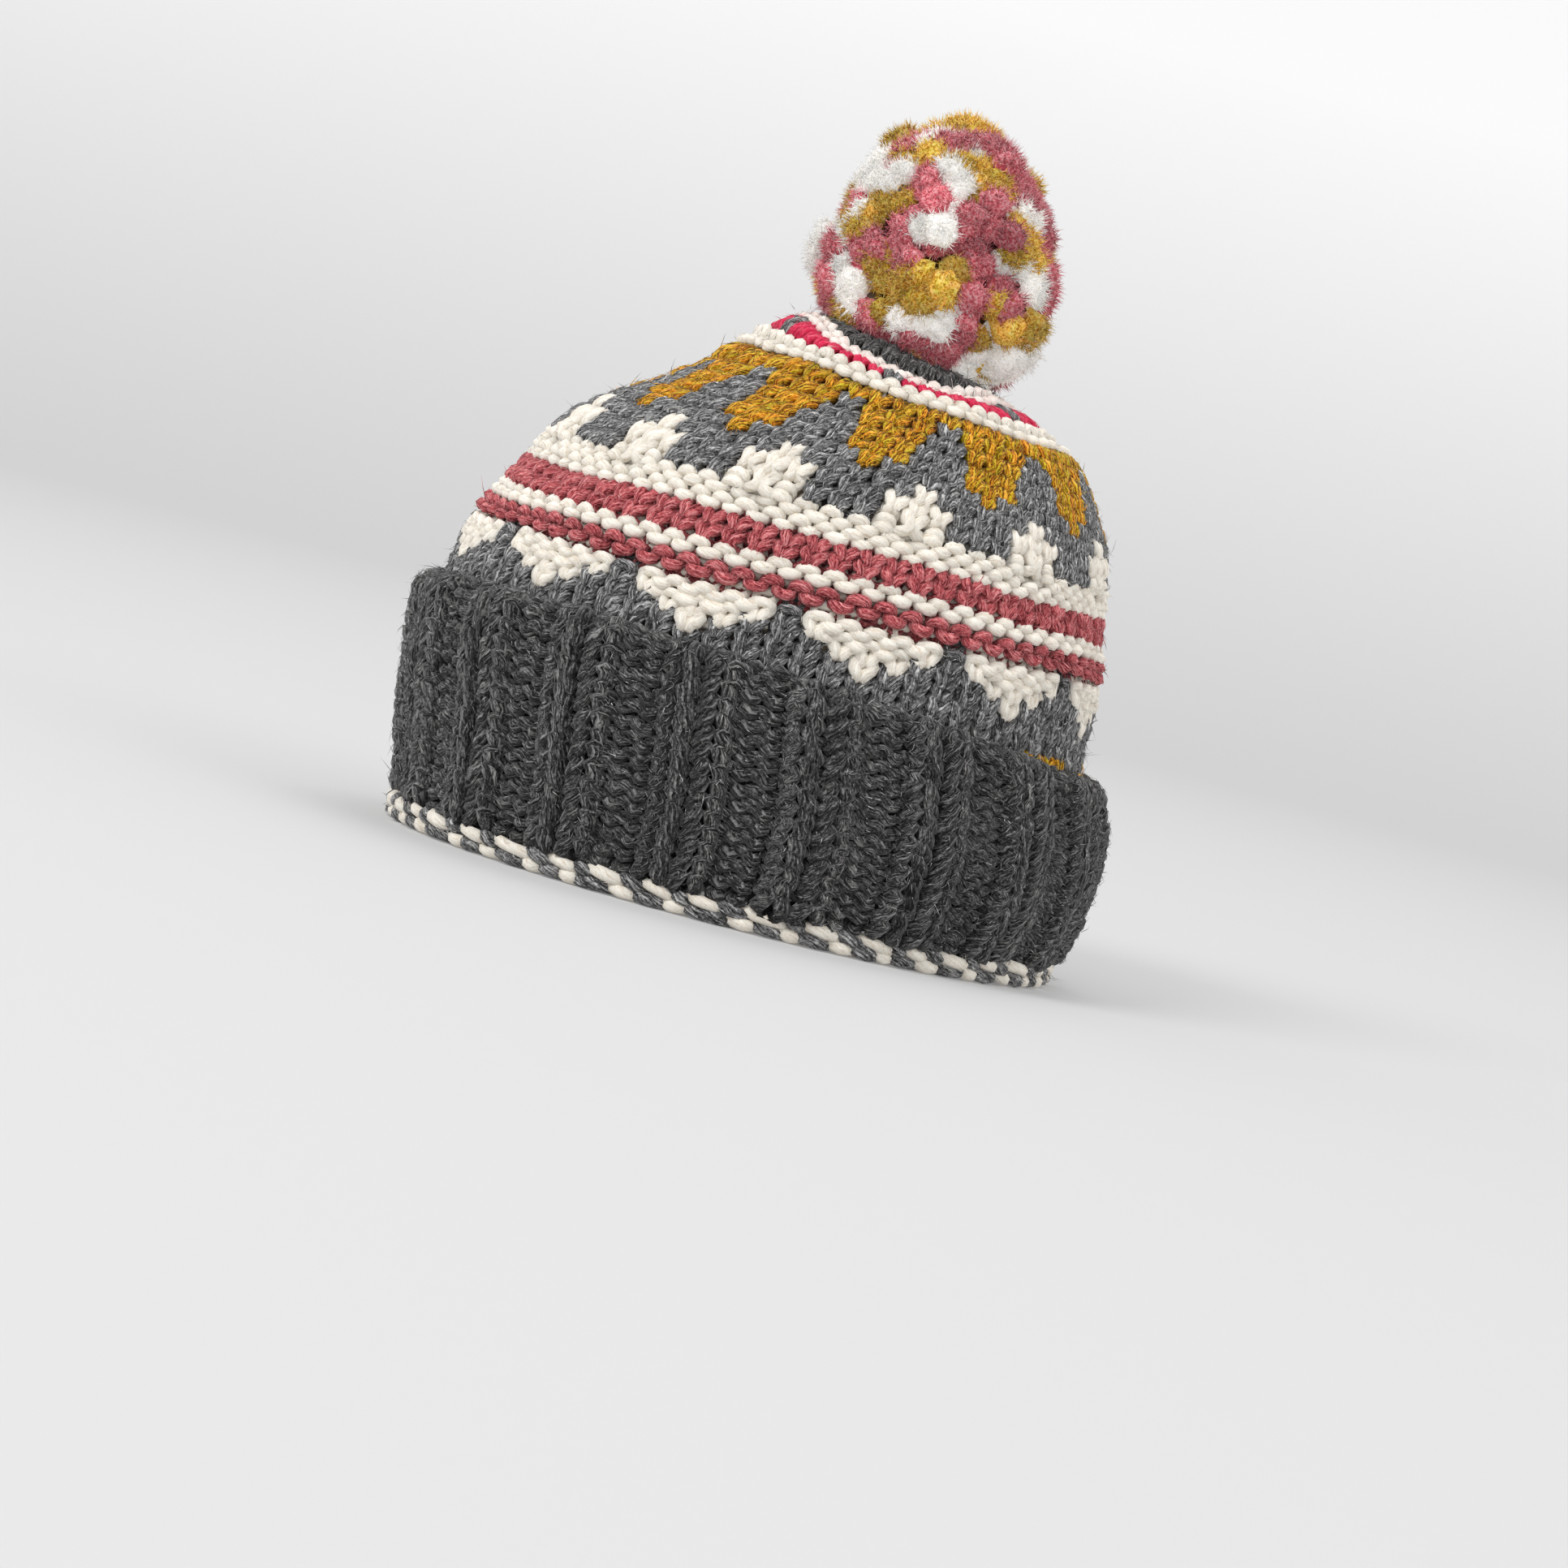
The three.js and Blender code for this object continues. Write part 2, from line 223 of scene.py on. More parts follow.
# The same values as the yarns above have
CUFF_YARN = ("charcoal", "charcoal_yarn", 2.0, 2, 9.0, 0.8, 3.4)
CUFF_KNIT_SWELL = 1.16
CUFF_REACH = 0.43  # of a row
RIBS = 18
RIB_ANGLE = -98.5
RIB_SPREAD = 0.9  # degrees by which the raised ribs crowd the furrows
FURROW_EDGE = 2.2  # how steep the sides of a furrow are
CUFF_TOP_MIDDLE = 66.4
CUFF_TOP_LEAN = 5.6  # how much higher the left end is, and how much lower the right one
CUFF_TOP_FRONT = 6.6  # how much higher the front is
CUFF_TOP_BACK = 2
CUFF_TOP_POWER = 1.5  # how closely the rises keep to the front and the back

# The middle of the cuff's fabric from its hidden inner edge, over the top and down: distance from the
# crown's face, distance below the top, and the share of the furrows' depth. The first line is row -2.
CUFF_PATH = np.array([
    (0.6, 10, 0),
    (0.8, 6, 0),
    (2.2, 3.2, 0.3),
    (3.9, 5.4, 0.75),
    (4.2, 9.6, 0.95),
    (4.2, 14, 1),
])
FURROW_DEPTH = 2.4
CUFF_FOOT = 8.8  # height of the last row

# The edge below the cuff: two lines, each of a cream and a grey yarn twisted together
EDGE_MIDDLE_X = 0.9
EDGE_HALF_LENGTH = 96.4
EDGE_HALF_WIDTH = 83.6
EDGE_TWISTS = 40
EDGE_STEPS = 14  # for each twist
EDGE_YARN_RADIUS = 1.75
EDGE_CLEARANCE = 0.3  # keeps a thick place of the yarn off the floor
# Height, start of the twist, distance out, and how much longer the cream yarn stays in front
EDGE_LINES = ((5.2, 0, 0.3, 0.35), (1.95, 0.58, -0.2, -0.35))
# Each yarn of a line: start in turns, sign of its stay in front, size, fibres for each centimetre
EDGE_YARNS = {"W": (0, 1, 1.06, 1.5), "g": (0.5, -1, 1.04, 7)}
EDGE_RISE = 0.6
EDGE_SWING = 1.6
EDGE_UNEVENNESS = 0.3
EDGE_DRIFT = ((0.7, 7, 2, 0), (0.5, 19, 1, 0))  # waves of the twist, and then of the yarn's radius
EDGE_SWELL = ((0.07, 29, 2, 0),)
# Painted shade: each yarn of the edge is darker where it turns behind the other
EDGE_SHADE = 0.6  # how much lighter a yarn is in front

# The pompom
POMPOM_MIDDLE = np.array([16.4, 0, 198])
POMPOM_HALVES = np.array([37, 38, 41.5])
POMPOM_TOP = np.array([-0.255, 0, 0.967])  # narrower this way
POMPOM_SIDE = np.array([0.967, 0, 0.255])  # flatter this way
POMPOM_SAG = np.array([0.53, 0, -0.85])  # hangs over the crown this way
POMPOM_REACH = 0.95  # of the halves, and then how much more or less it is each way
POMPOM_WAVE = 0.04
SAG_REACH = 0.15
SIDE_REACH = -0.08
LOW_REACH = 0.19
POMPOM_NARROWING = 0.14
POMPOM_HEIGHT = 0.98
TUFTS = 400
CLUSTERS = 170
CLUSTER_CROWDING = 0.9  # how much a cluster avoids the yarn of those around it
CLUSTER_UNEVENNESS = 0.036
TUFT_UNEVENNESS = 0.018
TUFT_GATHER = 0.1  # how far a tuft moves towards the middle of its cluster
USUAL_TUFT_HEIGHT = 18
TUFT_RADII = (4.3, 5.5)
TUFT_OVALS = (0.8, 1.25)
TUFT_SHADES = (0.15, 0.85)
TUFT_NAP = 2.3  # height of the hair tips over a dome
# Painted shade: the domes under the hairs are darker
DOME_SHADE = -0.45
DOME_UNEVENNESS = (0.85, 1.12)
DOME_LIFT = 0.25
DOME_YARN_LENGTH = 1.6  # from ring to ring in its UV
TUFT_HAIRS = 142
# Painted shade: hairs are darkened towards their roots
HAIR_ROOT_SHADE = {"W": -0.3, "R": -0.6, "M": -0.6}  # of each yarn: roots look darker
HAIR_LENGTHS = (1.8, 3.8)
HAIR_RADII = (0.12, 0.22)
HAIR_DEPTHS = (0.8, 0.96)  # share of the dome's size where a hair starts
HAIR_SWERVE = 0.5
HAIR_UNEVENNESS = 0.16  # of the shade
TUFT_SIDES = 7
TUFT_STEM = ((0, 0.5), (0.5, 0.8))  # share of the height up to the dome, share of the radius
TUFT_DOME = np.radians([0, 35, 62, 84])
DOME_FLATNESS = 0.55  # height of a dome as a share of its radius
POMPOM_YARNS = (("W", 0.36), ("R", 0.36), ("M", 0.28))
HEART_REACH = (0.8, 0.85)  # share of the tufts' reach
# Painted shade: the heart is darker still than the shell, for the gaps between tufts
HEART_SHADE = 0.4

# The tie, and the seat where the tufts stop at the crown's face
TIE_FOOT = np.array([12.8, 0, 163.2])
SEAT_HEIGHT = 162  # at the tie
SEAT_SLOPE = 0.2  # fall along x
SEAT_RADIUS = 30
TIE_POINTS = 24
TIE_TOP = 14  # over the foot
TIE_LENGTH = 20
TIE_COIL = 1.1  # distance of each strand from their middle
TIE_TURNS = 1.2
TIE_RADIUS = 1.2
KNOT_POINTS = 59
KNOT_DEPTH = 7.2  # under the foot
KNOT_HALF = 3.6
KNOT_SWING = (1.5, 1.9)  # across and up
KNOT_RADIUS = 1.5

# The closed shell inside the fabric: depths of its faces, and its colour under each yarn, darker than the
# yarn as painted shade between the loops
CROWN_CORE_DEPTHS = (-0.7, -1.7)
CUFF_CORE_DEPTHS = (0.2, -0.8)
CORE_COLUMNS = 72
CORE_SHADE_TINTS = {
    "g": (0.04, 0.04, 0.04),
    "W": (0.42, 0.33, 0.24),
    "R": (0.1, 0.018, 0.024),
    "M": (0.09, 0.045, 0.006),
    "C": (0.2, 0.01, 0.02),
    "P": (0.45, 0.3, 0.27),
    "K": (0.012, 0.012, 0.012),
}

# Materials
YARN_TWIST = 0.26  # radians for each millimetre
YARN_STRAY = 1.2  # radians
YARN_NOISE_RADIUS = 1.7  # of the tube in noise space round which a yarn's UV is wound
YARN_NOISE_LENGTH = 0.14  # for each millimetre
# A ramp's stops are a place and a colour. These are factors for longer stretches of a yarn.
EVEN_DYE = ((0.3, 0.92, 0.92, 0.92), (0.7, 1.05, 1.05, 1.05))
HEATHER = ((0.35, 0.72, 0.72, 0.73), (0.65, 1.2, 1.2, 1.2))
MUSTARD_HEATHER = ((0.35, 0.8, 1.05, 0.7), (0.5, 1, 1, 1), (0.65, 1.15, 0.84, 0.9))
PINK_HEATHER = ((0.38, 1, 0.88, 0.87), (0.54, 1, 1, 1))
# Name, stops for the fibres and for the stretches, and where the wool isn't as usual
YARN_DYES = {
    "g": ("grey_wool", (
        (0.36, 0.014, 0.014, 0.015), (0.45, 0.08, 0.078, 0.078),
        (0.54, 0.2, 0.197, 0.195), (0.64, 0.48, 0.48, 0.475),
    ), HEATHER, {"sheen": 0.15}),
    "W": ("cream_wool", (
        (0.3, 0.63, 0.54, 0.43), (0.5, 0.79, 0.745, 0.665), (0.7, 0.85, 0.82, 0.75),
    ), EVEN_DYE, {"bump": 0.35, "spread": 0.12}),
    "R": ("rose_wool", (
        (0.36, 0.1, 0.012, 0.016), (0.45, 0.35, 0.06, 0.068),
        (0.55, 0.53, 0.13, 0.14), (0.64, 0.7, 0.29, 0.29),
    ), EVEN_DYE, {"spread": 0.2}),
    "M": ("mustard_wool", (
        (0.36, 0.04, 0.013, 0.002), (0.45, 0.27, 0.115, 0.007),
        (0.54, 0.56, 0.29, 0.016), (0.64, 0.75, 0.48, 0.06),
    ), MUSTARD_HEATHER, {}),
    "C": ("crimson_wool", (
        (0.3, 0.4, 0.01, 0.04), (0.5, 0.7, 0.025, 0.09), (0.7, 0.82, 0.14, 0.2),
    ), EVEN_DYE, {"spread": 0.2}),
    "P": ("pink_wool", (
        (0.3, 0.72, 0.63, 0.57), (0.5, 0.83, 0.78, 0.73), (0.7, 0.88, 0.85, 0.81),
    ), PINK_HEATHER, {"bump": 0.35, "spread": 0.12}),
    "K": ("charcoal_wool", (
        (0.36, 0.004, 0.004, 0.004), (0.45, 0.024, 0.023, 0.023),
        (0.54, 0.068, 0.066, 0.065), (0.64, 0.22, 0.218, 0.212),
    ), HEATHER, {"sheen": 0.25}),
}
# The same dyes, lighter where the pompom's cut ends fluff out: the lighter colours and the glow are
# painted light for light scattered through the fluff
LIT_TUFT_DYES = {
    "W": ("cream_tufts", (
        (0.3, 0.86, 0.83, 0.76), (0.5, 0.93, 0.91, 0.87), (0.7, 0.95, 0.94, 0.92),
    ), EVEN_DYE, {"flecks": 0.3, "bump": 1.0, "sheen": 0.3, "spread": 0.22, "glow": 0.24}),
    "R": ("rose_tufts", (
        (0.34, 0.56, 0.08, 0.11), (0.5, 0.9, 0.23, 0.27), (0.66, 0.98, 0.47, 0.5),
    ), EVEN_DYE, {"flecks": 0.3, "sheen": 0.2, "spread": 0.34, "glow": 0.08}),
    "M": ("mustard_tufts", (
        (0.34, 0.5, 0.22, 0.015), (0.5, 0.9, 0.55, 0.07), (0.66, 0.97, 0.74, 0.22),
    ), (
        (0.35, 0.87, 1.0, 0.8), (0.5, 1, 1, 1), (0.65, 1.08, 0.9, 0.95),
    ), {"flecks": 0.3, "sheen": 0.15, "spread": 0.32, "glow": 0.09}),
}

# The camera, the stage and the lamps, in metres and degrees
EYE = Vector((0.0115, -1.28, 0.111))
AIM = Vector((0.0115, 0, 0.037))
CAMERA_LEAN = 14.77  # the hat leans this far to the right in the picture
STAGE_WALL_HEIGHT = 0.7
STAGE_FLOOR_GLOW = 0.19
STAGE_WALL_GLOW = 0.55
STAGE_FLAT = (0.8, 1.6, 2.2)  # radii
STAGE_BEND = 1.5
STAGE_TOPS = (2.5, 3.5)  # heights
STAGE_COLUMNS = 64
LAMP_AIM = Vector((0, 0, 0.1))
LAMPS = (
    ("key", (-1.5, -1.6, 2.0), 1.2, 39),
    ("fill", (1.8, -1.2, 1.5), 1.6, 9),
    ("top", (0.2, 0.9, 2.4), 1.6, 18),
)


def curve_between(a, b, c, d, t):
    """A smooth curve from b to c, in the direction that a and d give it at its ends."""
    return b + 0.5 * t * (c - a + t * (2 * a - 5 * b + 4 * c - d + t * (3 * (b - c) + d - a)))


def smoothed(values, place):
    """Smooth curve through the values at whole numbers, read at places between them."""
    last = len(values) - 1
    start = np.clip(np.floor(place).astype(int), 0, last - 1)
    near = (values[np.clip(start + i, 0, last)] for i in (-1, 0, 1, 2))
    return curve_between(*near, place - start)


def unit(v):
    return v / np.maximum(np.linalg.norm(v, axis=-1, keepdims=True), 1e-9)


def circle(count):
    """Angles spread evenly round a circle."""
    return 2 * np.pi * np.arange(count) / count


def spokes(turn, side, up):
    """Directions at angles from one direction towards another."""
    return np.cos(turn)[..., None] * side + np.sin(turn)[..., None] * up


def crown_form(section, angle):
    """Points of the crown's outer face."""
    columns = (smoothed(column, section) for column in CROWN_SECTIONS.T)
    left_x, left_z, right_x, right_z, half_width = columns
    cos = np.cos(angle)
    x = (left_x + right_x) / 2 + (right_x - left_x) / 2 * cos
    z = (left_z + right_z) / 2 + (right_z - left_z) / 2 * cos
    return np.stack([x, half_width * np.sin(angle), z], -1)


def crown_outward(section, angle):
    """Directions out of the crown's outer face."""
    step = 0.01
    low = np.maximum(section - step, 0)
    high = np.minimum(section + step, LAST_SECTION)
    up = crown_form(high, angle) - crown_form(low, angle)
    across = crown_form(section, angle + step) - crown_form(section, angle - step)
    return unit(np.cross(across, up))


def turn_from(angle, middle):
    """Degrees from a middle to an angle, the short way round."""
    return (np.degrees(angle) - middle + 180) % 360 - 180


def ripple(waves, angle, height):
    """Waves round the hat, added up."""
    return sum(size * np.sin(n * angle + turn * height + start) for size, n, turn, start in waves)


def dent_depth(section, angle):
    """How far the dents push the crown's face in."""
    depth = np.zeros_like(section)
    for at_angle, at_section, wide, tall, deep in DENTS:
        turn = turn_from(angle, at_angle)
        depth += deep * np.exp(-((turn / wide) ** 2) - ((section - at_section) / tall) ** 2)
    return depth


def ridge_sag(angle, height):
    """How far down the crown the rows near its top move in front."""
    turn = turn_from(angle, SAG_ANGLE)
    first = ROW_EDGES[SAG_FROM]
    ridge = ROW_EDGES[SAG_ROW]
    share = np.clip((height - first) / (ridge - first), 0, 1)
    above = np.maximum(height - ridge, 0) / SAG_TALL
    return SAG * np.exp(-((turn / SAG_WIDE) ** 4) - above**2) * share


def crown_surface(angle, height):
    """Middle of the crown's fabric, soft and a little uneven."""
    wave = CROWN_WAVE_SHARE * ripple(CROWN_WAVES, angle, height)
    section = np.interp(height + wave - ridge_sag(angle, height), *ROW_SECTIONS.T)
    distance = FABRIC_MIDDLE + wave - dent_depth(section, angle)
    return crown_form(section, angle) + crown_outward(section, angle) * distance[..., None]


def cuff_top_height(angle):
    """Height of the cuff's upper edge."""
    front = np.maximum(-np.sin(angle), 0) ** CUFF_TOP_POWER
    back = np.maximum(np.sin(angle), 0) ** CUFF_TOP_POWER
    middle = CUFF_TOP_MIDDLE - CUFF_TOP_LEAN * np.cos(angle)
    return middle + CUFF_TOP_FRONT * front + CUFF_TOP_BACK * back


def section_at_height(height, angle):
    """The crown's section there, found by halving. The cuff stays below the eighth."""
    low = np.zeros_like(angle)
    high = np.full_like(angle, 8.0)
    for _ in range(20):
        middle = (low + high) / 2
        below = crown_form(middle, angle)[..., 2] < height
        low = np.where(below, middle, low)
        high = np.where(below, high, middle)
    return (low + high) / 2


def furrow(angle):
    """From 0 on a raised rib to 1 in the furrow beside it."""
    wave = np.cos(RIBS * (angle - math.radians(RIB_ANGLE)))
    return 0.5 - 0.5 * np.tanh(FURROW_EDGE * wave) / math.tanh(FURROW_EDGE)


def cuff_surface(angle, height):
    """Middle of the cuff's fabric. The height is in rows, 0 at the top edge and less below it."""
    row = -height
    place = np.clip(row + CUFF_TOP_ROWS, 0, len(CUFF_PATH) - 1)
    out, down, share = (smoothed(column, place) for column in CUFF_PATH.T)
    top = cuff_top_height(angle)
    last = len(CUFF_PATH) - 1 - CUFF_TOP_ROWS
    pitch = (top - CUFF_PATH[-1, 1] - CUFF_FOOT) / (CUFF_ROWS - last)
    z = top - down - np.maximum(row - last, 0) * pitch
    distance = out - FURROW_DEPTH * share * furrow(angle) + ripple(CUFF_WAVES, angle, row)
    section = section_at_height(z, angle)
    return crown_form(section, angle) + crown_outward(section, angle) * distance[..., None]


def on_surface(surface, rise, angle, height, depth):
    """Points at a depth out of the middle of a fabric, and the direction out of it."""
    turn = 0.004
    middle = surface(angle, height)
    across = surface(angle + turn, height) - surface(angle - turn, height)
    up = surface(angle, height + rise) - surface(angle, height - rise)
    out = unit(np.cross(across, up))
    return middle + out * depth[..., None], out


def upsampled(points, steps):
    """Smooth open curve through points, with a number of steps for each."""
    last = len(points) - 1
    a, b, c, d = (points[np.clip(np.arange(last) + i, 0, last)] for i in (-1, 0, 1, 2))
    parts = [curve_between(a, b, c, d, k / steps) for k in range(steps)]
    return np.concatenate([np.stack(parts, 1).reshape(-1, points.shape[1]), points[-1:]])


def softened(path, closed):
    """A path with its corners taken off."""
    soft = path / 2 + (np.roll(path, 1, 0) + np.roll(path, -1, 0)) / 4
    if not closed:
        soft[[0, -1]] = path[[0, -1]]
    return soft


def put_in_scene(name, data):
    """A new object in the scene, with a mesh, a lamp or a camera as its data."""
    made = bpy.data.objects.new(name, data)
    bpy.context.scene.collection.objects.link(made)
    return made


class Skin:
    """Collects the points and faces of one mesh."""

    def __init__(self):
        self.points = []
        self.corners = []
        self.sizes = []
        self.uvs = []
        self.shades = []
        self.tints = []
        self.count = 0

    def add(self, points, faces, uv=None, shade=0.5, tint=(1, 1, 1)):
        """faces has a row for each face. uv has a pair for each corner of each face."""
        self.points.append(points)
        self.shades.append(np.broadcast_to(shade, len(points)))
        self.tints.append(np.broadcast_to(tint, (len(points), 3)))
        self.count += len(points)
        self.add_faces(faces, uv)

    def add_faces(self, faces, uv=None):
        """More faces on the points that were added last. faces counts from the first of them."""
        start = self.count - len(self.points[-1])
        self.corners.append((faces + start).ravel())
        self.sizes.append(np.full(len(faces), faces.shape[1]))
        self.uvs.append(np.zeros((faces.size, 2)) if uv is None else uv.reshape(-1, 2))

    def object(self, name, material, slot, target):
        """Makes the piece, which takes the place of one of the frame's nodes."""
        corners = np.concatenate(self.corners)
        sizes = np.concatenate(self.sizes)
        starts = np.concatenate([[0], np.cumsum(sizes)[:-1]])
        mesh = bpy.data.meshes.new(name)
        mesh.vertices.add(self.count)
        mesh.vertices.foreach_set("co", (np.concatenate(self.points) * MM).ravel())
        mesh.loops.add(len(corners))
        mesh.loops.foreach_set("vertex_index", corners.astype(np.int32))
        mesh.polygons.add(len(sizes))
        mesh.polygons.foreach_set("loop_start", starts.astype(np.int32))
        mesh.polygons.foreach_set("use_smooth", np.ones(len(sizes), bool))
        uvs = mesh.uv_layers.new(name="Yarn").uv
        uvs.foreach_set("vector", np.concatenate(self.uvs).ravel())
        shade = mesh.attributes.new("shade", "FLOAT", "POINT")
        shade.data.foreach_set("value", np.concatenate(self.shades))
        tint = mesh.attributes.new("tint", "FLOAT_COLOR", "POINT")
        colours = np.concatenate([np.concatenate(self.tints), np.ones((self.count, 1))], 1)
        tint.data.foreach_set("color", colours.ravel())
        mesh.update(calc_edges=True)
        mesh.materials.append(material)
        piece = put_in_scene(name, mesh)
        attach(piece, BODY)
        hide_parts(target)


def ring_faces(rings, sides, closed):
    """Quads between rings of points, and their places along and round."""
    here = np.arange(rings if closed else rings - 1)
    i, k = (g.ravel() for g in np.meshgrid(here, np.arange(sides), indexing="ij"))
    j = (i + 1) % rings
    m = (k + 1) % sides
    faces = np.stack([i * sides + k, j * sides + k, j * sides + m, i * sides + m], 1)
    return faces, i, k


def ring_uv(length, i, k, sides):
    """For each corner of the quads between rings, the length along and the way round."""
    u = np.stack([length[i], length[i + 1], length[i + 1], length[i]], 1)
    v = np.stack([k, k, k + 1, k + 1], 1) / sides
    return np.stack([u, v], -1)


def end_faces(sides, count):
    """The first and the last ring of a tube of this many points, as faces."""
    first = np.arange(sides)[None]
    return np.concatenate([first, count - 1 - first])


def add_tube(skin, path, out, radius, closed, shade, sides):
    """A yarn along a path. Its UV holds the length in millimetres and the way round."""
    n = len(path)
    ahead = np.roll(path, -1, 0) - np.roll(path, 1, 0)
    if not closed:
        ahead[0] = path[1] - path[0]
        ahead[-1] = path[-1] - path[-2]
    along = unit(ahead)
    side = unit(np.cross(along, out))
    up = np.cross(side, along)
    ring = spokes(circle(sides), side[:, None], up[:, None])
    points = (path[:, None] + ring * np.broadcast_to(radius, n)[:, None, None]).reshape(-1, 3)
    gaps = np.linalg.norm(np.roll(path, -1, 0) - path, axis=1)
    length = np.concatenate([[0], np.cumsum(gaps)])
    faces, i, k = ring_faces(n, sides, closed)
    skin.add(points, faces, ring_uv(length, i, k, sides), np.repeat(np.broadcast_to(shade, n), sides))
    if not closed:
        skin.add_faces(end_faces(sides, len(points)))
    return along, side, up


def add_fibres(skin, root, along, bend, length, radius, steps, shade, root_shade=0):
    """Thin pointed fibres, each closed, with three sides."""
    n = len(root)
    if n == 0:
        return
    side = unit(np.cross(along, chance.normal(size=(n, 3))))
    up = np.cross(side, along)
    t = np.linspace(0, 1, steps + 1)[:, None]
    reach = length[:, None, None]
    centre = root[:, None] + reach * (t * along[:, None] + t**2 * bend[:, None])
    ring = spokes(circle(3), side[:, None], up[:, None])
    thick = radius[:, None] * (1 - 0.75 * t[:-1, 0] ** 1.5)
    points = centre[:, :-1, None] + ring[:, None] * thick[:, :, None, None]
    points = np.concatenate([points.reshape(n, -1, 3), centre[:, -1:]], 1)
    start = np.arange(n)[:, None, None] * points.shape[1]
    sides, _, _ = ring_faces(steps, 3, False)
    top = 3 * (steps - 1)
    tips = np.array([(0, 2, 1)] + [(top + a, top + (a + 1) % 3, top + 3) for a in range(3)])
    along_fibre = np.concatenate([np.repeat(t[:-1, 0], 3), [1]])
    # root_shade is painted shade, darker towards each fibre's root
    shades = (np.broadcast_to(shade, n)[:, None] + root_shade * (1 - along_fibre)).ravel()
    seed = np.repeat(chance.uniform(0, 400, n), len(tips) * 3)
    skin.add(points.reshape(-1, 3), (tips + start).reshape(-1, 3), np.stack([seed, seed], 1), shades)
    if steps > 1:
        seed = np.repeat(chance.uniform(0, 400, n), len(sides) * 4)
        skin.add_faces((sides + start).reshape(-1, 4), np.stack([seed, seed], 1))


def add_fuzz(skin, path, ways, radius, seen, short_rate, long_rate, bright):
    """Loose fibres on the seen part of a yarn. The rates are for each centimetre."""
    along, side, up = ways
    length = np.linalg.norm(np.diff(path, axis=0), axis=1).sum() / 10 * seen.mean()
    places = np.flatnonzero(seen)
    for rate, (steps, lifts, reaches) in ((short_rate, SHORT_FIBRES), (long_rate, LONG_FIBRES)):
        n = chance.poisson(length * rate)
        if n == 0 or len(places) == 0:
            continue
        at = chance.choice(places, n)
        radial = spokes(chance.normal(math.pi / 2, FIBRE_SPREAD, n), side[at], up[at])
        way = along[at] * chance.choice([-1, 1], n)[:, None]
        across = np.cross(way, radial)
        lift = chance.uniform(*lifts, n)[:, None]
        heading = unit(way + lift * radial + chance.normal(0, FIBRE_SWERVE, (n, 1)) * across)
        curl = chance.normal(0, FIBRE_CURL, (n, 1)) * across
        bend = (curl - FIBRE_DROOP * lift * radial) * (steps - 1)
        root = path[at] + radial * (radius * FIBRE_ROOT)[at][:, None]
        reach = chance.uniform(*reaches, n)
        thick = chance.uniform(*FIBRE_RADII, n)
        shade = bright * chance.uniform(*FIBRE_SHADES, n)
        tip = root + reach[:, None] * (heading + bend)
        clear = np.minimum(tip[:, 2], root[:, 2]) > FIBRE_CLEARANCE
        parts = (root, heading, bend, reach, thick)
        add_fibres(skin, *(part[clear] for part in parts), steps, shade[clear])


def stitch_signs(stitches, count):
    """1 for each knit stitch of a row, and -1 for each purl one."""
    return np.array([1 if stitches[i % len(stitches)] == "k" else -1 for i in range(count)])


def swing(sign):
    """Depth of a loop's head or foot: bumps in front on purl stitches, behind on knit ones."""
    return np.where(sign > 0, -LOOP_DEPTH, RIDGE_DEPTH)


def side_depth(sign, short):
    """Depth of a loop's side where it meets a row of this sign."""
    if short:
        return np.where(sign > 0, HIDDEN_SIDE_DEPTH, RIDGE_SIDE_DEPTH)
    return np.where(sign > 0, LOOP_DEPTH, PURL_SIDE_DEPTH)


def jitter(spreads, count):
    """Unevenness of each stitch, and of each of its six points."""
    whole, each = spreads
    return chance.normal(0, whole, (count, 1)) + chance.normal(0, each, (count, 6))


def loop_points(count, low, high, own, above, short):
    """Column, height, depth and thickness of six points for each stitch of a row."""
    middle = (low + high) / 2
    half = (high - low) / 2
    column = np.arange(count)[:, None] + (RIDGE_ACROSS if short else LOOP_ACROSS)
    if not short:
        half = half * np.where((own < 0) & (above < 0), PURL_HEIGHT, 1)[:, None]
    height = middle + half * (RIDGE_UP if short else LOOP_UP) + np.zeros((count, 1))
    foot = (swing(own) + swing(np.roll(own, 1))) / 2
    head = swing(above)
    lower = side_depth(own, short)
    upper = side_depth(above, short)
    if not short:
        lower = lower + np.where(own > 0, LEG_TILT, 0)
        upper = upper - np.where(above > 0, LEG_TILT, 0)
    depth = np.stack([foot, lower, upper, head, upper, lower], 1)
    column = column + jitter(COLUMN_NOISE, count)
    height = height + half * jitter(HEIGHT_NOISE, count)
    depth = depth + jitter(DEPTH_NOISE, count)
    thick = np.where(own[:, None] > 0, KNIT_THICKNESS, PURL_THICKNESS)
    if short:
        thick = np.broadcast_to(RIDGE_THICKNESS, column.shape)
    return np.stack([column, height, depth, thick], -1)


def colour_runs(colours):
    """First column, length and whether it closes, for each stretch of one yarn round a row."""
    count = len(colours)
    changes = [i for i in range(count) if colours[i] != colours[i - 1]]
    if not changes:
        return [(0, count, True)]
    ends = changes[1:] + [changes[0] + count]
    return [(a, b - a, False) for a, b in zip(changes, ends)]


def closed_curve(run, count, steps):
    """The smooth curve of a row that runs right round, where its column starts again."""
    once_round = [count, 0, 0, 0]
    curve = upsampled(np.concatenate([run[-2:] - once_round, run, run[:3] + once_round]), steps)
    return curve[2 * steps : (2 + len(run)) * steps]


